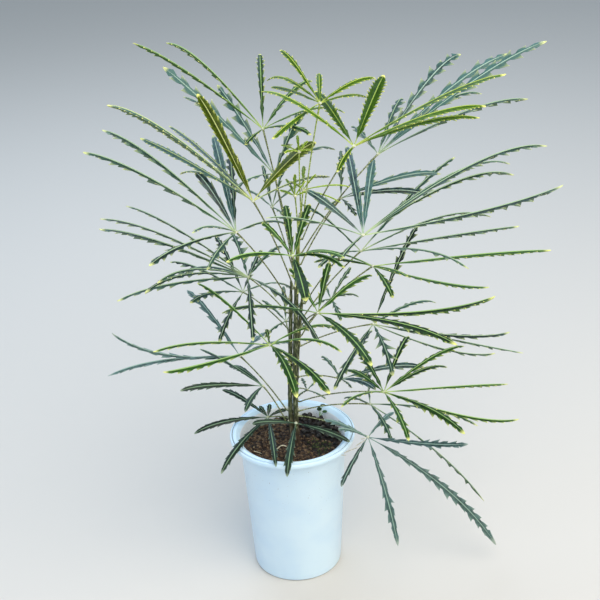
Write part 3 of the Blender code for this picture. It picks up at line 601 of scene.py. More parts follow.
def soil_surface():
    """Points and faces of the soil: up the pot's inside and over the clods to the middle."""
    points = [(0, 0, 3.4), (0, 0, soil_height(0, 0))]
    rings = [(47, 3.4), (pot_inside(6) - 0.5, 6), (pot_inside(150) - 0.5, 150)]
    rings += [(radius, None) for radius in [pot_inside(SOIL_TOP - 2) - 0.5] + SOIL_RINGS[::-1]]
    rows = []
    for radius, height in rings:
        rows.append(range(len(points), len(points) + SOIL_SPOKES))
        for i in range(SOIL_SPOKES):
            turn = math.tau * i / SOIL_SPOKES
            x, y = radius * math.cos(turn), radius * math.sin(turn)
            points.append((x, y, soil_height(x, y) if height is None else height))
    faces = []
    for i in range(SOIL_SPOKES):
        j = (i + 1) % SOIL_SPOKES
        faces.append((0, rows[0][j], rows[0][i]))
        faces.append((1, rows[-1][i], rows[-1][j]))
        for low, high in zip(rows, rows[1:]):
            faces.append((low[i], low[j], high[j]))
            faces.append((low[i], high[j], high[i]))
    return points, faces


print("the middle of the sheet:", place(SHEET_MIDDLE, SHEET_MIDDLE, 0))

# %% [markdown]
# ## Laying the leaves out
# Real leaflets lie close but don't pass through each other. Each stalk and leaflet gets a sleeve, a box
# along its path, and a leaf is moved along its sight lines, towards or away from the eye, until its sleeves
# touch nothing that is already there. That doesn't change how it looks from the front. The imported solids
# were laid out by the same rules in the same order, so the finer leaves below fall on them.

# %% Rules for laying out
# What is tried in turn until a stalk, a leaflet or a leaf is clear, in mm: how much higher on its stem a
# stalk starts and how far it sways, and how much nearer a leaflet's tip or a leaf's hub is. The last is how
# much a leaflet arches, as a part of what it should.
STALK_RISES = (0, -4, 4, -8, 8, -12, 12)
STALK_SWAYS = (0, 8, -8, 16, -16, 26, -26)
TIP_SHIFTS = (0, 7, -7, 14, -14, 21, -21, 28, -28, 38, -38, 50, -50)
HUB_SHIFTS = (0, 8, -8, 16, -16, 24, -24, 34, -34)
ARCH_PARTS = (1, 0.4, 1.8)


def shape_of(points, faces):
    """A search tree of some faces, and the corners of the box round them."""
    points = [Vector(point) for point in points]
    low = Vector(min(p[k] for p in points) for k in range(3))
    high = Vector(max(p[k] for p in points) for k in range(3))
    return BVHTree.FromPolygons(points, faces), low, high


def sleeve(path, facing, widths, above, below):
    """A closed box along a path, for telling whether two things come too close."""
    points = []
    for (point, _, side, face), wide in zip(frames(path, facing), widths):
        for across, up in ((wide, above), (-wide, above), (-wide, -below), (wide, -below)):
            points.append(point + side * across + face * up)
    last = 4 * (len(path) - 1)
    faces = [(0, 1, 2, 3), (last + 3, last + 2, last + 1, last)]
    for row in range(len(path) - 1):
        for i in range(4):
            j = (i + 1) % 4
            faces.append((4 * row + i, 4 * row + j, 4 * row + 4 + j, 4 * row + 4 + i))
    return shape_of(points, faces)


def is_clear(shape, others):
    tree, low, high = shape
    for other, other_low, other_high in others:
        apart = any(low[k] > other_high[k] or high[k] < other_low[k] for k in range(3))
        if not apart and tree.overlap(other):
            return False
    return True


def stem_at(stem, height):
    """(centre, radius) in mm of a stem at a height."""
    rows = STEMS[stem]
    for low, high in zip(rows, rows[1:]):
        if height <= high[2]:
            break
    t = (height - low[2]) / (high[2] - low[2])
    x, y, z, radius = (a + (b - a) * t for a, b in zip(low, high))
    return Vector((x, y, z)), radius


def stalk_path(stem, height, hub, sway):
    """The leaf stalk's points, from just off its stem to the hub."""
    centre, radius = stem_at(stem, height)
    out = hub - centre
    out.z = 0
    out.normalize()
    start = centre + out * (radius + GAP / MM + 0.15)
    length = (hub - start).length
    first = start + out * 2.5
    bend = start + (hub - start) * 0.45 + UP * (0.09 * length) + (EYE - hub).normalized() * sway
    points = [start]
    for i in range(6):
        points.append(along(first, bend, hub, i / 5))
    return points


def leaflet_curve(hub, tip, arch):
    """The start, bend and end of a leaflet's rib. It arches up from the hub and its tip droops."""
    bend = hub + (tip - hub) * LEAFLET_CREST + UP * (arch * (tip - hub).length)
    return hub + (bend - hub).normalized() * ROOT_OFF, bend, tip


def stalk_sleeve(path):
    wide = STALK_RADIUS + CLEAR
    return sleeve(path, STALK_FACING, [wide] * len(path), wide, wide)


def leaflet_sleeve(path, facing, width):
    steps = len(path) - 1
    widths = [half_width(i / steps, width) + CLEAR for i in range(steps + 1)]
    return sleeve(path, facing, widths, CLEAR, max(RIB_DEEP, FOLD * width / 2) + CLEAR)


def near_by_reach(hub, tip, reach):
    """How much nearer than the hub a tip is: what its leaflet's length leaves over, forward if it hangs."""
    seen = (place(tip[0], tip[1], hub[2]) - place(*hub)).length
    full = min(0.95 * reach, 1.9 * seen)
    depth = math.sqrt(max(full * full - seen * seen, 0))
    return depth if tip[1] > hub[1] else -depth


def clear_stalk(stem, height, hub, taken):
    """(path, sleeve) of a leaf stalk that touches nothing, or None."""
    for rise in STALK_RISES:
        for sway in STALK_SWAYS:
            path = stalk_path(stem, height + rise, hub, sway)
            shape = stalk_sleeve(path)
            if is_clear(shape, taken):
                return path, shape
    return None


def clear_leaflet(hub, centre, tip, near, arch, facing, width, taken):
    """(curve, sleeve) of a leaflet that touches nothing, or None."""
    for part in ARCH_PARTS:
        for shift in TIP_SHIFTS:
            end = place(tip[0], tip[1], hub[2] + near + shift)
            length = (end - centre).length
            steps = max(4, min(11, round(length / TOOTH_PITCH)))
            curve = leaflet_curve(centre, end, arch * part)
            path = [along(*curve, i / steps) for i in range(steps + 1)]
            shape = leaflet_sleeve(path, facing, width)
            if is_clear(shape, taken):
                return curve, shape
    return None


def try_leaf(name, hub, lay, taken):
    """(stalk path, leaflets, sleeves, faults) of a leaf with its hub at this place."""
    _, (stem, height), reach, width, _, tips = lay
    draw = random.Random(name)
    centre = place(*hub)
    room = HUB_RADIUS + CLEAR
    ends = [centre - Vector((room, 0, 0)), centre + Vector((room, 0, 0))]
    knot = sleeve(ends, UP, [room, room], room, room)
    if not is_clear(knot, taken):
        return None, [], [], ["hub"]
    stalk = clear_stalk(stem, height, centre, taken)
    if stalk is None:
        return None, [], [], ["stalk"]
    faults = []
    leaflets = []
    own = [knot, stalk[1]]
    for tip in tips:
        x, y, near, arch, broad = (tip + (None, None, None))[:5]
        drawn_arch, drawn_tilt = draw.uniform(*ARCHES), draw.uniform(*TILTS)
        lean = draw.uniform(-LEANS, LEANS)
        drawn_width = width * draw.uniform(*WIDTHS)
        near = near_by_reach(hub, tip, reach) if near is None else near
        arch = drawn_arch if arch is None else arch
        tilt, wide = drawn_tilt, min(drawn_width, SLENDER * (place(x, y, hub[2]) - centre).length + 3)
        if broad:
            tilt, wide = VIEWER_TILT if broad > 0 else EDGE_TILT, abs(broad)
        tilt = math.radians(tilt)
        facing = Vector((lean, -math.sin(tilt), math.cos(tilt))).normalized()
        found = clear_leaflet(hub, centre, tip, near, arch, facing, wide, taken)
        if found is None:
            faults.append(tip)
            continue
        leaflets.append((found[0], facing, wide))
        own.append(found[1])
    return stalk[0], leaflets, own, faults


def lay_out():
    """Every leaf in turn, moved along its sight lines until it is clear of the stems and earlier leaves."""
    taken = [shape_of(*turned(POT_OUTLINE, POT_SIDES)), shape_of(*soil_surface())]
    for rows in STEMS.values():
        path = [Vector(row[:3]) for row in rows]
        taken.append(shape_of(*tube(path, [row[3] for row in rows], STEM_SIDES)))
    for leaf in SEEDLING_LEAVES:
        foot = Vector(SEEDLING_FOOT + (SEEDLING_FORK - 7,))
        room = SEEDLING_LEAF + CLEAR
        taken.append(sleeve([foot, Vector(leaf) + UP * room], Vector((0, -1, 0)), [room, room], room, room))
    found = {}
    for name, lay in LEAVES.items():
        best = None
        for shift in HUB_SHIFTS:
            x, y, near = lay[0]
            tried = try_leaf(name, (x, y, near + shift), lay, taken)
            if tried[0] and (best is None or len(tried[3]) < len(best[3])):
                best = tried
            if not tried[3]:
                break
        stalk, leaflets, own, faults = best
        if faults:
            print(name, "is not clear:", faults)
        found[name] = (stalk, leaflets, lay[4])
        taken += own
    return found


LAID_OUT = lay_out()
print("laid out:", len(LAID_OUT), "leaves with", sum(len(leaf[1]) for leaf in LAID_OUT.values()), "leaflets")

# %% [markdown]
# ## Copies that become one piece
# A leaf is one living thing but has many leaflets, and each of them is a copy of one modelled shape, bent
# to its own place. Joining copies with the Join operator is slow when there are thousands, so the helpers
# here read a modelled shape once as arrays of points and faces, and later gather shaped arrays into one
# mesh.

# %% Read shapes and gather copies
def deselect_all():
    bpy.ops.object.select_all(action="DESELECT")


def pick(wanted):
    """In edit mode, selects the vertices that wanted(x, y, z) picks, and nothing else."""
    body = bmesh.from_edit_mesh(bpy.context.object.data)
    for vertex in body.verts:
        vertex.select = bool(wanted(*vertex.co))
    body.select_flush_mode()
    bmesh.update_edit_mesh(bpy.context.object.data)


def read_shape(shape):
    """(points, faces) of a modelled shape, which is then removed."""
    points = np.array([vertex.co[:] for vertex in shape.data.vertices])
    faces = [tuple(face.vertices) for face in shape.data.polygons]
    bpy.data.objects.remove(shape)
    return points, faces


def gather(name, copies, finishes):
    """One smooth piece from copies: each is (points in metres, faces, paint, number of its finish)."""
    mesh = bpy.data.meshes.new(name)
    faces = []
    numbers = []
    first = 0
    for points, own_faces, _, number in copies:
        faces += [[first + corner for corner in face] for face in own_faces]
        numbers += [number] * len(own_faces)
        first += len(points)
    mesh.from_pydata(np.concatenate([copy[0] for copy in copies]).tolist(), [], faces)
    for finish in finishes:
        mesh.materials.append(finish)
    mesh.polygons.foreach_set("material_index", numbers)
    paint = mesh.attributes.new("paint", "FLOAT_COLOR", "POINT")
    colours = np.concatenate([np.broadcast_to(copy[2], (len(copy[0]), 3)) for copy in copies])
    paint.data.foreach_set("color", np.c_[colours, np.ones(len(colours))].astype(np.float32).ravel())
    mesh.shade_smooth()
    mesh.set_sharp_from_angle(angle=math.radians(50))
    piece = bpy.data.objects.new(name, mesh)
    bpy.context.scene.collection.objects.link(piece)
    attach(piece, "root")
    return piece


def round_rod(points, radii, roundness=2):
    """(points, faces) of a round rod along points, with a radius at each, all in mm."""
    deselect_all()
    curve = bpy.data.curves.new("rod", "CURVE")
    curve.dimensions = "3D"
    curve.bevel_depth = MM
    curve.bevel_resolution = roundness
    curve.use_fill_caps = True
    line = curve.splines.new("POLY")
    line.points.add(len(points) - 1)
    for spot, place_mm, radius in zip(line.points, points, radii):
        spot.co = tuple(Vector(place_mm) * MM) + (1,)
        spot.radius = radius
    rod = bpy.data.objects.new("rod", curve)
    bpy.context.scene.collection.objects.link(rod)
    rod.select_set(True)
    bpy.context.view_layer.objects.active = rod
    bpy.ops.object.convert(target="MESH")
    return read_shape(bpy.context.object)


rod_points, rod_faces = round_rod([(0, 0, 0), (0, 0, 1)], [1, 1])
print("a rod has", len(rod_points) // 2, "sides and", len(rod_faces), "faces")

# %% [markdown]
# ## The pot
# The pot is a turned shape: a tapered wall, a lip that rolls over, and a ledge inside the lip. A profile
# could be spun round the axis, but here a circle is pulled up ring by ring, as clay is on a wheel, which
# leaves no seam and no doubled points. The lip's top is an outer band and a raised inner one, with a fine
# groove between them. A small bevel gives the moulding its soft edges, and six drain holes are cut last.

# %% Pot
POT_ROUND = 144  # sides
SOFT_EDGE = 0.3  # mm
GROOVE = [(72.0, 180), (71.9, 178.8), (71.0, 178.8), (70.9, 180.7)]
# Faces between these radii and heights, in mm, are the groove's.
GROOVE_RADII = (70.8, 72.2)
GROOVE_HEIGHTS = (178.5, 179.7)
DRAIN_RING = 32  # mm, from the middle to each drain hole
DRAIN_WIDE = 9
DRAINS = 6


def ring_up(outline, round_count):
    """A shape pulled up from a circle through rings of (radius, height) in mm, closed at both ends."""
    deselect_all()
    radius, height = outline[0]
    bpy.ops.mesh.primitive_circle_add(vertices=round_count, radius=radius * MM, location=(0, 0, 0))
    shape = bpy.context.object
    bpy.ops.object.mode_set(mode="EDIT")
    bpy.ops.mesh.select_all(action="SELECT")
    bpy.ops.transform.translate(value=(0, 0, height * MM))
    bpy.ops.mesh.edge_face_add()
    bpy.ops.mesh.select_mode(type="EDGE")
    bpy.ops.mesh.select_all(action="SELECT")
    for (radius, height), (wider, higher) in zip(outline, outline[1:]):
        bpy.ops.mesh.extrude_edges_move(TRANSFORM_OT_translate={"value": (0, 0, (higher - height) * MM)})
        stretch = (wider / radius, wider / radius, 1)
        bpy.ops.transform.resize(value=stretch, center_override=(0, 0, higher * MM))
    bpy.ops.mesh.edge_face_add()
    bpy.ops.mesh.select_mode(type="VERT")
    bpy.ops.mesh.select_all(action="SELECT")
    bpy.ops.mesh.normals_make_consistent(inside=False)
    bpy.ops.object.mode_set(mode="OBJECT")
    return shape


pot = ring_up(POT_OUTSIDE + POT_LIP[:3] + GROOVE + POT_LIP[5:] + POT_INSIDE, POT_ROUND)
pot.name = "pot_moulded"
soft = pot.modifiers.new("soft edges", "BEVEL")
soft.width = SOFT_EDGE * MM
soft.segments = 2
soft.limit_method = "ANGLE"
soft.angle_limit = math.radians(25)
bpy.ops.object.modifier_apply(modifier=soft.name)
for i in range(DRAINS):
    turn = math.tau * (i + 0.5) / DRAINS
    deselect_all()
    spot = (DRAIN_RING * MM * math.cos(turn), DRAIN_RING * MM * math.sin(turn), 0)
    bpy.ops.mesh.primitive_cylinder_add(vertices=24, radius=DRAIN_WIDE / 2 * MM, depth=12 * MM,
                                        location=spot)
    punch = bpy.context.object
    hole = pot.modifiers.new("drain hole", "BOOLEAN")
    hole.operation = "DIFFERENCE"
    hole.object = punch
    hole.solver = "EXACT"
    with bpy.context.temp_override(object=pot, active_object=pot, selected_objects=[pot]):
        bpy.ops.object.modifier_apply(modifier=hole.name)
    bpy.data.objects.remove(punch)
pot.data.materials.clear()
for finish in (POT_OUTER, POT_INNER, POT_GROOVE):
    pot.data.materials.append(finish)
for face in pot.data.polygons:
    inwards = face.normal.x * face.center.x + face.normal.y * face.center.y < 0
    on_floor = 2 * MM < face.center.z < 4 * MM and face.normal.z > 0.9
    face.material_index = int(on_floor or inwards and face.center.z < (POT_LIP[-1][1] + 1) * MM)
    far = math.hypot(face.center.x, face.center.y) / MM
    high = face.center.z / MM
    # Faces in the groove take its grey, a painted shade.
    if GROOVE_RADII[0] < far < GROOVE_RADII[1] and GROOVE_HEIGHTS[0] < high < GROOVE_HEIGHTS[1]:
        face.material_index = 2
pot.data.shade_smooth()
pot.data.set_sharp_from_angle(angle=math.radians(35))
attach(pot, "root")
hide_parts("pot")
print("pot:", len(pot.data.polygons), "faces")

# %% [markdown]
# ## The potting mix
# A smooth dark surface under the grains closes the gaps between them; its dark peat colour is partly a
# painted shade in those gaps. It is pulled up and in ring by ring like the pot, and then lifted by the same
# rule as the packed soil, with finer lumps of a few millimetres on top.

# %% Soil
SOIL_ROUND = 128
LUMP_WIDE = 4.5  # mm
LUMP_RISE = 0.9  # mm
LUMP_SINK = 0.6  # mm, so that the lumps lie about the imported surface
soil_rings = [(47, 3.4), (pot_inside(6) - 0.5, 6), (pot_inside(150) - 0.5, 150)]
soil_rings.append((pot_inside(158) - 0.3, 158))
soil_rings += [(radius, SOIL_TOP) for radius in range(58, 1, -2)] + [(0.8, SOIL_TOP)]
soil = ring_up(soil_rings, SOIL_ROUND)
soil.name = "soil_surface"
for vertex in soil.data.vertices:
    x, y, z = vertex.co / MM
    if z > 159:
        lumps = noise.fractal(Vector((x, y, 3)) / LUMP_WIDE, 0.9, 2.1, 3)
        vertex.co.z = (soil_height(x, y) + LUMP_RISE * lumps - LUMP_SINK) * MM
soil.data.materials.append(PEAT)
soil.data.shade_smooth()
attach(soil, "root")
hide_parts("soil")
print("soil:", len(soil.data.polygons), "faces")

# %% [markdown]
# ## Grains of the mix
# Seven lumps are modelled: balls of 20 faces for crumbs, and of 80 for clods, whose points are pushed
# about. Every grain is a copy of one of them, stretched and turned by a draw, and half sunk in the surface.
# A particle system would scatter them too, but particles don't last outside Blender. What lies where is
# read off the plant: pumice and bark all over, dark clods heaped at the back right against the wall, and a
# mossy patch in front of the stems.

# %% Grains
GRAINS = 2300  # places drawn
SPREAD = 58  # mm from the pot's middle, as far as grains lie
HEAP_SPREAD = 55  # mm, the same for clods
STEM_ROOM = 4.5  # mm, kept free round the middle of each stem
MOSS_WIDE = 15  # mm, half the width of the mossy patch
MOSS_SHARE = 0.75  # of the grains in that patch
PUMICE_SHARE = 0.07  # of the grains elsewhere
BARK_SIZES = (1.0, 1.4, 1.9, 2.4, 3.1)  # mm
CLOD_SIZES = (2.0, 3.6)  # mm, drawn between these


def lump_shape(seed, fineness=1):
    deselect_all()
    bpy.ops.mesh.primitive_ico_sphere_add(subdivisions=fineness, radius=1)
    lump = bpy.context.object
    bpy.ops.object.mode_set(mode="EDIT")
    bpy.ops.mesh.select_all(action="SELECT")
    bpy.ops.transform.vertex_random(offset=0.28 / fineness, seed=seed)
    bpy.ops.object.mode_set(mode="OBJECT")
    return read_shape(lump)


LUMPS = [lump_shape(seed) for seed in (1, 2, 3, 4)]
ROUND_LUMPS = [lump_shape(seed, 2) for seed in (5, 6, 7)]
draw = random.Random("grains")


def grain_copy(spot, size, flat=0.7, lumps=LUMPS):
    """A copy of a lump at a spot in mm, with its size in mm."""
    points, faces = draw.choice(lumps)
    scale = [size * draw.uniform(0.7, 1.3), size * draw.uniform(0.7, 1.1)]
    scale.append(size * flat * draw.uniform(0.7, 1.2))
    turned_by = Matrix.Rotation(draw.uniform(0, math.tau), 3, "Z")
    turned_by = turned_by @ Matrix.Rotation(draw.uniform(-0.6, 0.6), 3, "X")
    return (points * scale @ np.array(turned_by).T + list(spot)) * MM, faces, (0, 0, draw.random()), 0


def on_soil(x, y):
    """The point in mm where the sight line of a place on the sheet meets the soil."""
    start = EYE.copy()
    toward = place(x, y, 0) - start
    return start + toward * ((SOIL_TOP - start.z) / toward.z)


def is_heaped(x, y):
    """Whether the heap of clods at the back right reaches this place."""
    return x + y > 34 + 16 * noise.noise(Vector((x, y, 0)) / 12)


MOSS_MIDDLE = on_soil(321, 447)
grains = {"bark": [], "pumice": [], "clods": [], "moss": []}
heap = []
for i in range(GRAINS):
    far = SPREAD * math.sqrt(draw.random())
    turn = draw.uniform(0, math.tau)
    x, y = far * math.cos(turn), far * math.sin(turn)
    if any(math.hypot(x - rows[0][0], y - rows[0][1]) < STEM_ROOM for rows in STEMS.values()):
        continue
    ground = soil_height(x, y) - 0.4
    from_moss = math.hypot(x - MOSS_MIDDLE.x, (y - MOSS_MIDDLE.y) / 1.3)
    by_moss = from_moss < MOSS_WIDE * draw.uniform(0.6, 1.2)
    if is_heaped(x, y) and far < HEAP_SPREAD:
        # Clods lie side by side, and higher towards the pot.
        size = draw.uniform(*CLOD_SIZES)
        apart = min((math.hypot(x - a, y - b) - r for a, b, r in heap), default=9)
        if apart > 0.75 * size:
            heap.append((x, y, size))
            piled = 2.5 * max(0, (x + y - 50) / 25)
            grains["clods"].append(grain_copy((x, y, ground + 0.6 * size + piled), size, 0.9, ROUND_LUMPS))
    elif by_moss and draw.random() < MOSS_SHARE:
        grains["moss"].append(grain_copy((x, y, ground), draw.uniform(0.8, 1.7)))
    elif draw.random() < PUMICE_SHARE:
        grains["pumice"].append(grain_copy((x, y, ground), draw.uniform(0.6, 1.3)))
    else:
        grains["bark"].append(grain_copy((x, y, ground), draw.choice(BARK_SIZES), 0.6))
for kind, finish in (("bark", BARK_BIT), ("pumice", PUMICE), ("clods", CLOD), ("moss", MOSS)):
    gather("soil_" + kind, grains[kind], [finish])
    print(kind, len(grains[kind]), "grains")

# %% [markdown]
# ## A root and twigs
# A pale root loops out of the mix at the front left, and a few thin twigs lie in front, most of them at the
# right. They are rods along short curves. A rod made as a curve with a bevel keeps its roundness where it
# bends, which a stretched cylinder doesn't.

# %% Root and twigs
UNPAINTED = (0, 0, 0)
# Places on the sheet, then length in mm and turn in radians.
TWIGS = ((352, 452, 22, 0.5), (361, 446, 17, 0.75), (340, 457, 15, -0.2), (300, 463, 12, 0.3),
         (257, 452, 13, -0.6), (366, 441, 12, 0.2))
root_start = on_soil(276, 450)
root_end = on_soil(289, 448)
root_line = []
for i in range(13):
    t = i / 12
    spot = root_start.lerp(root_end, t)
    root_line.append(spot + Vector((0, 2.5 * math.sin(math.pi * t), 3.8 * math.sin(math.pi * t) - 0.6)))
root_rod = round_rod(root_line, [1.0 - 0.4 * i / 12 for i in range(13)])
gather("soil_root", [root_rod + (UNPAINTED, 0)], [ROOT])
twigs = []
for x, y, length, turn in TWIGS:
    middle = on_soil(x, y)
    half = Vector((math.cos(turn), math.sin(turn), 0.04)) * (length / 2)
    lift = Vector((0, 0, soil_height(middle.x, middle.y) - SOIL_TOP + 0.8))
    line = [middle - half + lift, middle + lift + UP * 0.4, middle + half + lift]
    twigs.append(round_rod(line, [0.45, 0.5, 0.3], 1) + (UNPAINTED, 0))
gather("soil_twigs", twigs, [ROOT])
print("twigs:", len(twigs))

# %% [markdown]
# ## Stems
# Three young woody stems stand in the mix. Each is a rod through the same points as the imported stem, with a
# smooth curve between them, and with rings where leaves have been: a ring is only a radius a little larger
# over 4 mm. Bark streaks are in the material.

# %% Stems
def smooth_through(rows, step):
    """(points, radii) along rows of (x, y, z, radius) in mm, on a smooth curve."""
    rows = [np.array(row, float) for row in rows]
    rows = [2 * rows[0] - rows[1]] + rows + [2 * rows[-1] - rows[-2]]
    found = []
    for before, low, high, after in zip(rows, rows[1:], rows[2:], rows[3:]):
        count = max(2, round((high[2] - low[2]) / step))
        for i in range(count):
            t = i / count
            found.append(0.5 * (2 * low + (high - before) * t
                                + (2 * before - 5 * low + 4 * high - after) * t**2
                                + (3 * low - before - 3 * high + after) * t**3))
    found.append(rows[-2])
    return [spot[:3] for spot in found], [spot[3] for spot in found]


FIRST_SCAR = 178  # mm, the height of the lowest ring
SCAR_GAPS = (11, 20)  # mm, from one ring to the next, drawn between these
draw = random.Random("stems")
for name, rows in STEMS.items():
    scars = [lay[1][1] for lay in LEAVES.values() if lay[1][0] == name]
    height = FIRST_SCAR
    while height < rows[-1][2]:
        scars.append(height)
        height += draw.uniform(*SCAR_GAPS)
    points, radii = smooth_through(rows[1:], 2.0)
    points = [rows[0][:3]] + points
    radii = [rows[0][3]] + radii
    for i, (x, y, z) in enumerate(points):
        near_scar = min(abs(z - scar) for scar in scars)
        radii[i] += 0.3 * max(0, 1 - near_scar / 2.2) + 0.12 * noise.noise(Vector((x, y, z)) / 6)
    rod = round_rod(points, radii, 4)
    top = Vector(points[-1])
    ball, ball_faces = LUMPS[0]
    bud = ((ball * 0.5 * radii[-1] * [1, 1, 1.6] + list(top)) * MM, ball_faces, UNPAINTED, 0)
    stem = gather("bark_" + name, [rod + (UNPAINTED, 0), bud], [BARK])
    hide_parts("stem_" + name)
    print(stem.name, len(stem.data.polygons), "faces,", len(scars), "scars")

# %% [markdown]
# ## One leaflet
# A leaflet is a long flat strip with forward teeth, a raised midrib and its own thin stalk. It is modelled
# flat and straight: from -1 to 1 across and 0 to 1 along, with its thickness in millimetres, so that one
# shape serves for every length and width. It has nine columns of points: the middle one is the crest of the
# rib, the two to each side of it are drawn in to the rib's edge, and the outermost make the teeth. Teeth
# alternate from side to side, four rows of faces to a tooth: its notch, its slope, its shoulder and its
# tip, which is pushed forward past the next row, so that it hooks. Leaflets have different numbers of
# teeth, so one shape is made for each number that turns up. The points are picked by their place and scaled
# or moved with the transform operators.

# %% Leaflet shapes
TOOTHED = (0.17, 0.88)  # where along a leaflet its teeth are
TOOTHED_PART = TOOTHED[1] - TOOTHED[0]
BLADE_THICK = 0.45  # mm
CREST_RISE = 0.45  # mm, how far the rib stands out on top, and below it
CREST_DROP = 0.35
TIP_AHEAD = 1.2  # how many rows the tip of a tooth is pushed forward
CREST = 0.05  # parts of the half width: less than this from the middle is the crest of the rib,
RIB_EDGE = 0.12  # less than this is rib,
BLADE_EDGE = 0.9  # and more than this is the blade's edge with its teeth
UNDERSIDE = -0.1  # mm, points lower than this are on the underside


def phase(x, t, rows):
    """Which of the four rows of a tooth this is, from 0 at its notch to 3 at its tip, or None."""
    if not TOOTHED[0] < t < TOOTHED[1]:
        return None
    return (round(t * rows) + (2 if x > 0 else 0)) % 4


def leaflet_shape(teeth, notch):
    """(points, faces, paint, tips of teeth) of a flat leaflet, notched in to this part of its width."""
    rows = round(4 * teeth / TOOTHED_PART)
    deselect_all()
    bpy.ops.mesh.primitive_grid_add(x_subdivisions=8, y_subdivisions=rows, size=2)
    leaflet = bpy.context.object
    bpy.ops.object.mode_set(mode="EDIT")
    bpy.ops.mesh.select_all(action="SELECT")
    bpy.ops.transform.translate(value=(0, 1, 0))
    bpy.ops.transform.resize(value=(1, 0.5, 1), center_override=(0, 0, 0))
    # Two columns to each side of the middle go in to the edge of the rib, and the next to about half way.
    for column, inwards in ((0.25, 0.36), (0.5, 0.26), (0.75, 0.75)):
        pick(lambda x, t, z: abs(abs(x) - column) < 0.04)
        bpy.ops.transform.resize(value=(inwards, 1, 1), center_override=(0, 0, 0))
    for row, edge in ((0, notch), (1, notch), (2, notch + 0.45 * (1 - notch))):
        middle = 0.45 + 0.55 * edge
        pick(lambda x, t, z: abs(x) > BLADE_EDGE and phase(x, t, rows) == row)
        bpy.ops.transform.resize(value=(edge, 1, 1), center_override=(0, 0, 0))
        pick(lambda x, t, z: 0.52 < abs(x) < 0.6 and phase(x, t, rows) == row)
        bpy.ops.transform.resize(value=(middle, 1, 1), center_override=(0, 0, 0))
    pick(lambda x, t, z: abs(x) > BLADE_EDGE and phase(x, t, rows) == 3)
    bpy.ops.transform.translate(value=(0, TIP_AHEAD / rows, 0))
    bpy.ops.mesh.select_all(action="SELECT")
    bpy.ops.mesh.extrude_region_move(TRANSFORM_OT_translate={"value": (0, 0, -BLADE_THICK)})
    bpy.ops.mesh.select_all(action="SELECT")
    bpy.ops.mesh.normals_make_consistent(inside=False)
    pick(lambda x, t, z: abs(x) < CREST and z > UNDERSIDE)
    bpy.ops.transform.translate(value=(0, 0, CREST_RISE))
    pick(lambda x, t, z: abs(x) < CREST and z < UNDERSIDE)
    bpy.ops.transform.translate(value=(0, 0, -CREST_DROP))
    bpy.ops.object.mode_set(mode="OBJECT")
    points, faces = read_shape(leaflet)
    x, t, z = points.T
    tips = [i for i in range(len(points))
            if z[i] > UNDERSIDE and abs(x[i]) > BLADE_EDGE
            and phase(x[i], t[i] - TIP_AHEAD / rows, rows) == 3]
    paint = np.zeros((len(points), 3))
    rib = np.where(abs(x) < CREST, 1.0, np.where(abs(x) < RIB_EDGE, 0.8, 0)) * (z > UNDERSIDE)
    paint[:, 0] = np.clip(rib + 0.8 * np.clip((0.08 - t) / 0.04, 0, 1) + 0.2 * (z < UNDERSIDE), 0, 1)
    paint[:, 1] = np.clip((t - 0.93) / 0.04, 0, 1) + 0.3 * np.clip((0.08 - t) / 0.06, 0, 1)
    # The blade is darkest beside its rib, and pale towards its edge, a painted sheen, and underneath, where a
    # real leaf is paler and painted light also lifts the shade.
    paint[:, 2] = 0.8 * np.clip(abs(x) - 0.35, 0, 0.65) - 0.25 + 0.35 * (z < UNDERSIDE)
    for i in tips:
        paint[i, 1] = 0.55
    return points, faces, paint, tips


SHAPES = {}
deselect_all()
bpy.ops.mesh.primitive_uv_sphere_add(segments=4, ring_count=2, radius=1)
BEAD, BEAD_FACES = read_shape(bpy.context.object)
flat_leaflet = leaflet_shape(8, 0.5)
print("a leaflet of 8 teeth a side:", len(flat_leaflet[1]), "faces,", len(flat_leaflet[3]), "tips")
print("a bead:", len(BEAD_FACES), "faces")

# %% [markdown]
# ## Bending a leaflet to its place
# Each leaflet hangs along its own curve from the knot to its tip. A Curve modifier could bend the copies,
# but it would need an object for each curve, so the points are placed directly: along the curve by t,
# across it by the width there, and up by the thickness. The blade folds down from its rib, more in some
# leaflets than in others, turns a little towards its tip, and its teeth are drawn a little uneven, as in
# any living leaf.

# %% Bend and paint a leaflet
FEWEST_TEETH = 3  # on each side
MOST_TEETH = 16
RIB_FOOT = 0.2  # parts of the half width: what is nearer to the middle keeps the rib's width
RIB_FITS = 10  # mm, the width of the blade on which the modelled rib is 0.9 mm wide
TWIST = 16  # degrees, how far a leaflet turns towards its tip, at most
FOLDS = (0.3, 0.6)  # how far each half of the blade folds down, as a part of its width
FOLD_TURNED = 0.4  # times that for a leaflet that is turned to the viewer
FOLD_ON_EDGE = 2.2  # times that for one that is seen on edge
ON_EDGE = 0.2  # how far the face of such a leaflet points away from the viewer, at least


def blade_half_width(t, width):
    """Half the width in mm at each t, out to the tips of the teeth, from the thin stalk to the blunt end."""
    swell = np.sin(math.pi * np.minimum(np.maximum(t - 0.04, 0) / 0.98, 1) ** 1.25)
    blade = width / 2 * (0.3 + 0.7 * swell)
    start = np.clip((t - 0.06) / 0.1, 0, 1)
    blade = LEAFLET_STALK * 0.55 + (blade - LEAFLET_STALK * 0.55) * start
    blade *= 1 - 0.35 * np.clip((t - 0.84) / 0.12, 0, 1)
    end = np.clip((t - 0.95) / 0.05, 0, 1)
    return blade * np.sqrt(np.maximum(1 - end**2.2, 0.02))


def is_turned(facing):
    """Whether a leaflet's face is turned to the viewer."""
    return facing.y < -math.sin(math.radians(VIEWER_TILT - 5))


def is_on_edge(facing):
    """Whether the viewer sees a leaflet's edge."""
    return facing.y > ON_EDGE


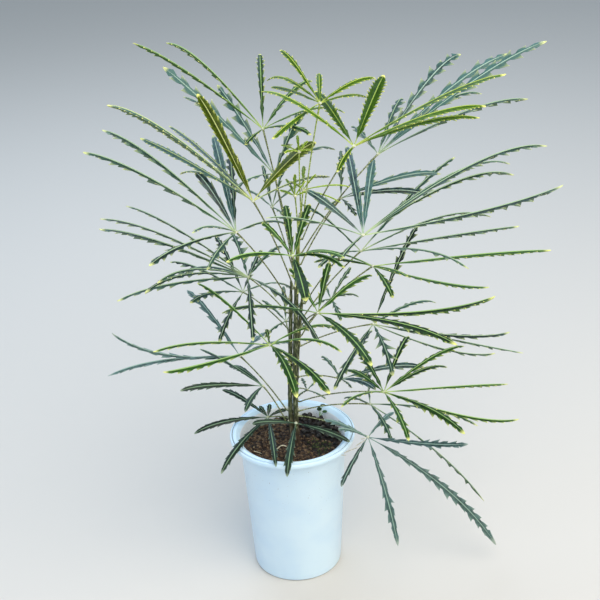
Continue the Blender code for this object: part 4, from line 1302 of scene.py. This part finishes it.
def bent_leaflet(curve, facing, width, draw, habit, number):
    """A leaflet along its curve and the beads on its teeth, as copies to gather with a number of finish."""
    length = (curve[2] - curve[0]).length
    pitch, notch, turned_notch, bead_size, smallest, largest = habit
    notch = turned_notch if is_turned(facing) else notch
    teeth = max(FEWEST_TEETH, min(MOST_TEETH, round(TOOTHED_PART * length / pitch)))
    if (teeth, notch) not in SHAPES:
        SHAPES[teeth, notch] = leaflet_shape(teeth, notch)
    points, faces, paint, tips = SHAPES[teeth, notch]
    x, t, z = points.T
    # The rib is 0.9 mm wide, however broad the blade is.
    x = np.where(abs(x) < RIB_FOOT, x * min(1.1, RIB_FITS / width), x)
    # Where each point's row is on the curve, and the directions ahead, across and up there.
    root, bend, tip = (np.array(end) for end in curve)
    late = t[:, None]
    spots = root * (1 - late) ** 2 + bend * (2 * late * (1 - late)) + tip * late**2
    ahead = (bend - root) * (1 - late) + (tip - bend) * late
    ahead /= np.linalg.norm(ahead, axis=1)[:, None]
    side = np.cross(ahead, np.array(facing))
    side /= np.linalg.norm(side, axis=1)[:, None]
    face = np.cross(side, ahead)
    turn = (math.radians(draw.uniform(-TWIST, TWIST)) * t**2)[:, None]
    side, face = side * np.cos(turn) + face * np.sin(turn), face * np.cos(turn) - side * np.sin(turn)
    shift = draw.uniform(0, 100)
    # Each tooth has its own size, and the edge between teeth stays where it is.
    sizes = np.array([draw.uniform(smallest, largest) for _ in range(2 * teeth + 8)])
    numbers = np.clip((t * teeth / TOOTHED_PART).astype(int), 0, teeth + 3) * 2 + (x > 0)
    out = np.maximum(abs(x) - notch, 0) * (abs(x) > notch + 0.1)
    toothed = (t > TOOTHED[0]) & (t < TOOTHED[1] + 0.02)
    x = np.sign(x) * (abs(x) + out * (sizes[numbers] - 1) * toothed)
    across = x * blade_half_width(t, width)
    fold = draw.uniform(*FOLDS)
    if is_turned(facing):
        fold *= FOLD_TURNED
    elif is_on_edge(facing):
        fold *= FOLD_ON_EDGE
    # Towards its edge the blade waves by half a millimetre, and its last tenth is thinner.
    wave = 0.5 * np.sin(t * teeth * 2.1 + shift) * np.clip(abs(x) - 0.4, 0, 1) * min(1, width / 10)
    slim = np.where(t > 0.9, 1 - 5 * (t - 0.9), 1.0)
    lift = z * slim - fold * abs(across) * (1 - 0.3 * abs(x)) + wave
    spots = spots + side * across[:, None] + face * lift[:, None]
    # Each leaflet is as light as it is drawn, hooked ones a little more, and a margin seen on edge is painted
    # pale, a painted sheen.
    tone = paint.copy()
    tone[:, 2] += 0.1 + draw.random() * 0.4 + (0.1 if smallest > 0.5 else 0)
    if is_on_edge(facing):
        tone[:, 0] = np.maximum(tone[:, 0], 0.35 * (abs(x) > 0.8))
    copies = [(spots * MM, faces, tone, number)]
    for i in tips:
        size = bead_size * draw.uniform(0.75, 1.2)
        bead = BEAD * size + spots[i] + ahead[i] * 0.3 * size - face[i] * 0.2
        copies.append((bead * MM, BEAD_FACES, (0, 1, 0), number))
    return copies


# %% [markdown]
# ## The leaves
# Each leaf is gathered from its stalk, its knot and its leaflets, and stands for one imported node. The stalk
# is swollen where it leaves the stem, thin in the middle and a little thicker under the knot. Young leaves
# at the top have closer teeth than the dark ones, and the long teeth of a dark leaflet hang where it is
# seen on edge.

# %% Leaves
# How each look's teeth grow: mm between them, how far out the blade reaches between them as a part of its
# half width, the same for a leaflet that is turned to the viewer, the radius of their beads in mm, and their
# smallest and largest size.
HABITS = {"dark": (16, 0.42, 0.7, 0.5, 0.1, 1.6), "mid": (13, 0.5, 0.6, 0.62, 0.1, 1.3),
          "olive": (9, 0.6, 0.8, 0.7, 0.1, 1.4), "young": (8, 0.66, 0.68, 0.75, 0.2, 1.5),
          "new": (9, 0.6, 0.6, 0.5, 0.1, 1.4), "old": (11, 0.68, 0.68, 0.4, 0.1, 1.4),
          "worn": (16, 0.45, 0.5, 0.4, 0.1, 1.4), "hooked": (22, 0.3, 0.3, 0.5, 0.9, 1.7),
          "hanging": (18, 0.26, 0.7, 0.5, 0, 2.4)}
# The blades of a look that are turned to the viewer, and the others, where they aren't all its own: painted
# sky reflection on a dark leaf's turned leaflets, painted shade on an olive leaf's others, and painted light
# on a young leaf's others.
TURNED_LOOKS = {"dark": "blue"}
OTHER_LOOKS = {"olive": "shaded", "young": "lit"}
HOOKED = ("leaf_05", "leaf_06")
# The leaves that don't look as their tone says; the worn look's pale grey-green is a painted sheen.
LOOKS = {"leaf_03": "new", "leaf_09": "new", "leaf_10": "new", "leaf_23": "worn", "leaf_24": "old",
         "leaf_29": "worn", "leaf_30": "old", "leaf_31": "old"}
KNOT_SIZE = [2.1, 2.1, 1.7]  # mm


def stalk_radius(t):
    """Radius in mm of a leaf stalk, at t from its stem to its knot."""
    return 0.8 + 0.8 * max(0, 1 - t / 0.12) + 0.35 * max(0, (t - 0.85) / 0.15)


def stalk_bend(stalk):
    """The point that bends a leaf stalk, worked back from its points."""
    halfway = stalk[3]
    t = 0.4
    return (halfway - stalk[1] * (1 - t) ** 2 - stalk[-1] * t**2) / (2 * t * (1 - t))


deselect_all()
bpy.ops.mesh.primitive_ico_sphere_add(subdivisions=2, radius=1)
BALL, BALL_FACES = read_shape(bpy.context.object)
worst = 0
for name, (stalk, leaflets, tone) in LAID_OUT.items():
    draw = random.Random(name + " looks")
    look = LOOKS.get(name, tone)
    outwards = (stalk[0] - stalk[1]).normalized()
    line = [stalk[0] + outwards * 1.6, stalk[0]]
    line += [along(stalk[1], stalk_bend(stalk), stalk[-1], i / 18) for i in range(19)]
    radii = [stalk_radius(i / (len(line) - 1)) for i in range(len(line))]
    copies = [round_rod(line, radii) + (UNPAINTED, 1)]
    copies.append(((BALL * KNOT_SIZE + list(stalk[-1])) * MM, BALL_FACES, UNPAINTED, 2))
    # A pale sheath is left where the stalk clasps the stem.
    sheath = BALL * [1.1, 1.1, draw.uniform(2, 3.2)] + list(stalk[0] + UP * 1.5)
    copies.append((sheath * MM, BALL_FACES, UNPAINTED, 2))
    for curve, facing, width in leaflets:
        hangs = look == "dark" and is_on_edge(facing)
        habit = HABITS["hooked" if name in HOOKED else "hanging" if hangs else look]
        copies += bent_leaflet(curve, facing, width, draw, habit, 0 if is_turned(facing) else 3)
    # The young leaves still have fresh stalks, but for the one that is nearly full-grown.
    fresh = tone == "young" and name != "leaf_04"
    turned_blade, other_blade = BLADES[TURNED_LOOKS.get(look, look)], BLADES[OTHER_LOOKS.get(look, look)]
    finishes = [turned_blade, FRESH_STALK if fresh else STALK, KNOT, other_blade]
    leaf = gather("grown_" + name, copies, finishes)
    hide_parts(name)
    low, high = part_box(name)
    corners = np.array([vertex.co[:] for vertex in leaf.data.vertices])
    off = max(abs(corners.min(0) - low).max(), abs(corners.max(0) - high).max())
    worst = max(worst, off)
    if off > 4 * MM:
        print(name, "is", round(off / MM, 1), "mm off its packed solid")
print("leaves:", len(LAID_OUT), "- leaflet shapes:", sorted(SHAPES))
print("most off its packed solid:", round(worst / MM, 1), "mm")

# %% [markdown]
# ## The seedling
# A weed has come up at the back of the pot: a thread of a stalk and round leaves about 6 mm across. A
# flattened ball, dished a little, is enough for a leaf of that size.

# %% Seedling
SEEDLING_ROOT = 157  # mm, the stalk's lower end in the soil
x, y = SEEDLING_FOOT
fork = Vector((x, y, SEEDLING_FORK))
PALE_RIB = (1, 0, 0.3)
copies = [round_rod([(x, y, SEEDLING_ROOT), (x - 0.3, y, 165), fork], [0.5, 0.45, 0.45], 1) + (PALE_RIB, 0)]
deselect_all()
bpy.ops.mesh.primitive_uv_sphere_add(segments=16, ring_count=8, radius=1)
DISC, DISC_FACES = read_shape(bpy.context.object)
for i, middle in enumerate(SEEDLING_LEAVES):
    thread = [fork - UP, (Vector(middle) + fork) / 2 + UP * 0.4, middle]
    copies.append(round_rod(thread, [0.4, 0.35, 0.3], 1) + (PALE_RIB, 0))
    tilted = Matrix.Rotation(math.radians(35 - 20 * i), 3, "X")
    disc = DISC * [SEEDLING_LEAF, SEEDLING_LEAF * 0.85, 0.35]
    disc[:, 2] += 0.5 * (DISC[:, 0] ** 2 + DISC[:, 1] ** 2)
    copies.append(((disc @ np.array(tilted).T + list(middle)) * MM, DISC_FACES, (0, 0, 0.5 * (i == 1)), 0))
weed = gather("grown_seedling", copies, [BLADES["mid"]])
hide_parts("seedling")
print("seedling:", len(weed.data.polygons), "faces")

# %% [markdown]
# ## Floor, light and camera
# The floor is a plain pale sheet, far wider than the pot. Light is soft, as under a bright overcast sky: a
# broad lamp high in front and a little to the right, a weaker one from the right, cool ones from the left
# and from behind, and a pale blue world that fills the shadows. The camera stands where the plant is seen
# from a little above, with a moderately long lens, and leans by a few degrees.

# %% Floor
FLOOR_WIDE = 24  # m
FLOOR_BACK = 6  # m, how far behind the plant the floor's middle is
deselect_all()
bpy.ops.mesh.primitive_plane_add(size=FLOOR_WIDE, location=(0, FLOOR_BACK, -0.5 * MM))
floor = bpy.context.object
floor.name = "floor"
pale, pale_shader = start_finish("pale floor", 0.9, 1.45)
pale_shader.inputs["Base Color"].default_value = linear("d2cbc0")
floor.data.materials.append(pale)
floor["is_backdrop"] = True
print("floor:", floor.dimensions[:2])

# %% Light
PLANT_MIDDLE = Vector((0, 0, 0.3))
world = bpy.data.worlds.new("pale room")
bpy.context.scene.world = world
world.use_nodes = True
world.node_tree.nodes["Background"].inputs["Color"].default_value = linear("c8def6")
world.node_tree.nodes["Background"].inputs["Strength"].default_value = 0.62


def lamp(name, spot, size, power, colour):
    """A square soft lamp that faces the middle of the plant."""
    made = bpy.data.lights.new(name, "AREA")
    made.size = size
    made.energy = power
    made.color = linear(colour)[:3]
    lamp_object = bpy.data.objects.new(name, made)
    lamp_object.location = spot
    lamp_object.rotation_euler = (PLANT_MIDDLE - Vector(spot)).to_track_quat("-Z", "Y").to_euler()
    bpy.context.scene.collection.objects.link(lamp_object)


lamp("high front", (0.5, -1.4, 2.3), 1.8, 58, "fffaf2")
lamp("right side", (1.8, -0.6, 1.2), 1.2, 12, "fff4e6")
lamp("left side", (-1.8, -0.9, 1.1), 1.4, 7, "a6caff")
lamp("back top", (-0.3, 1.3, 2.1), 1.6, 28, "cfe4ff")

# %% Camera
SENSOR_WIDE = 36  # mm
lens = bpy.data.cameras.new("camera")
lens.sensor_width = SENSOR_WIDE
lens.lens = SENSOR_WIDE * SIGHT / SHEET_SIZE
lens.clip_end = 60
camera = bpy.data.objects.new("camera", lens)
over = Vector((0, math.sin(LOOK_DOWN), math.cos(LOOK_DOWN)))
right = Vector((1, 0, 0))
image_right = right * math.cos(SHEET_TURN) + over * math.sin(SHEET_TURN)
image_up = over * math.cos(SHEET_TURN) - right * math.sin(SHEET_TURN)
turned_to = Matrix((image_right, image_up, image_right.cross(image_up))).transposed()
camera.matrix_world = Matrix.Translation(EYE * MM) @ turned_to.to_4x4()
bpy.context.scene.collection.objects.link(camera)
bpy.context.scene.camera = camera
bpy.context.scene.view_settings.view_transform = "Standard"
print("camera at", [round(k, 3) for k in camera.location])

# %% [markdown]
# ## Size
# The dressed plant keeps the size of its solids. The last line prints how far, in mm, the box round all
# shown pieces is from the box of the imported frame.

# %% Finish
shown_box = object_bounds()
off = [round((a - b) / MM, 1) for x, y in zip(cad_box, shown_box) for a, b in zip(x, y)]
print("box off by", off, "mm")
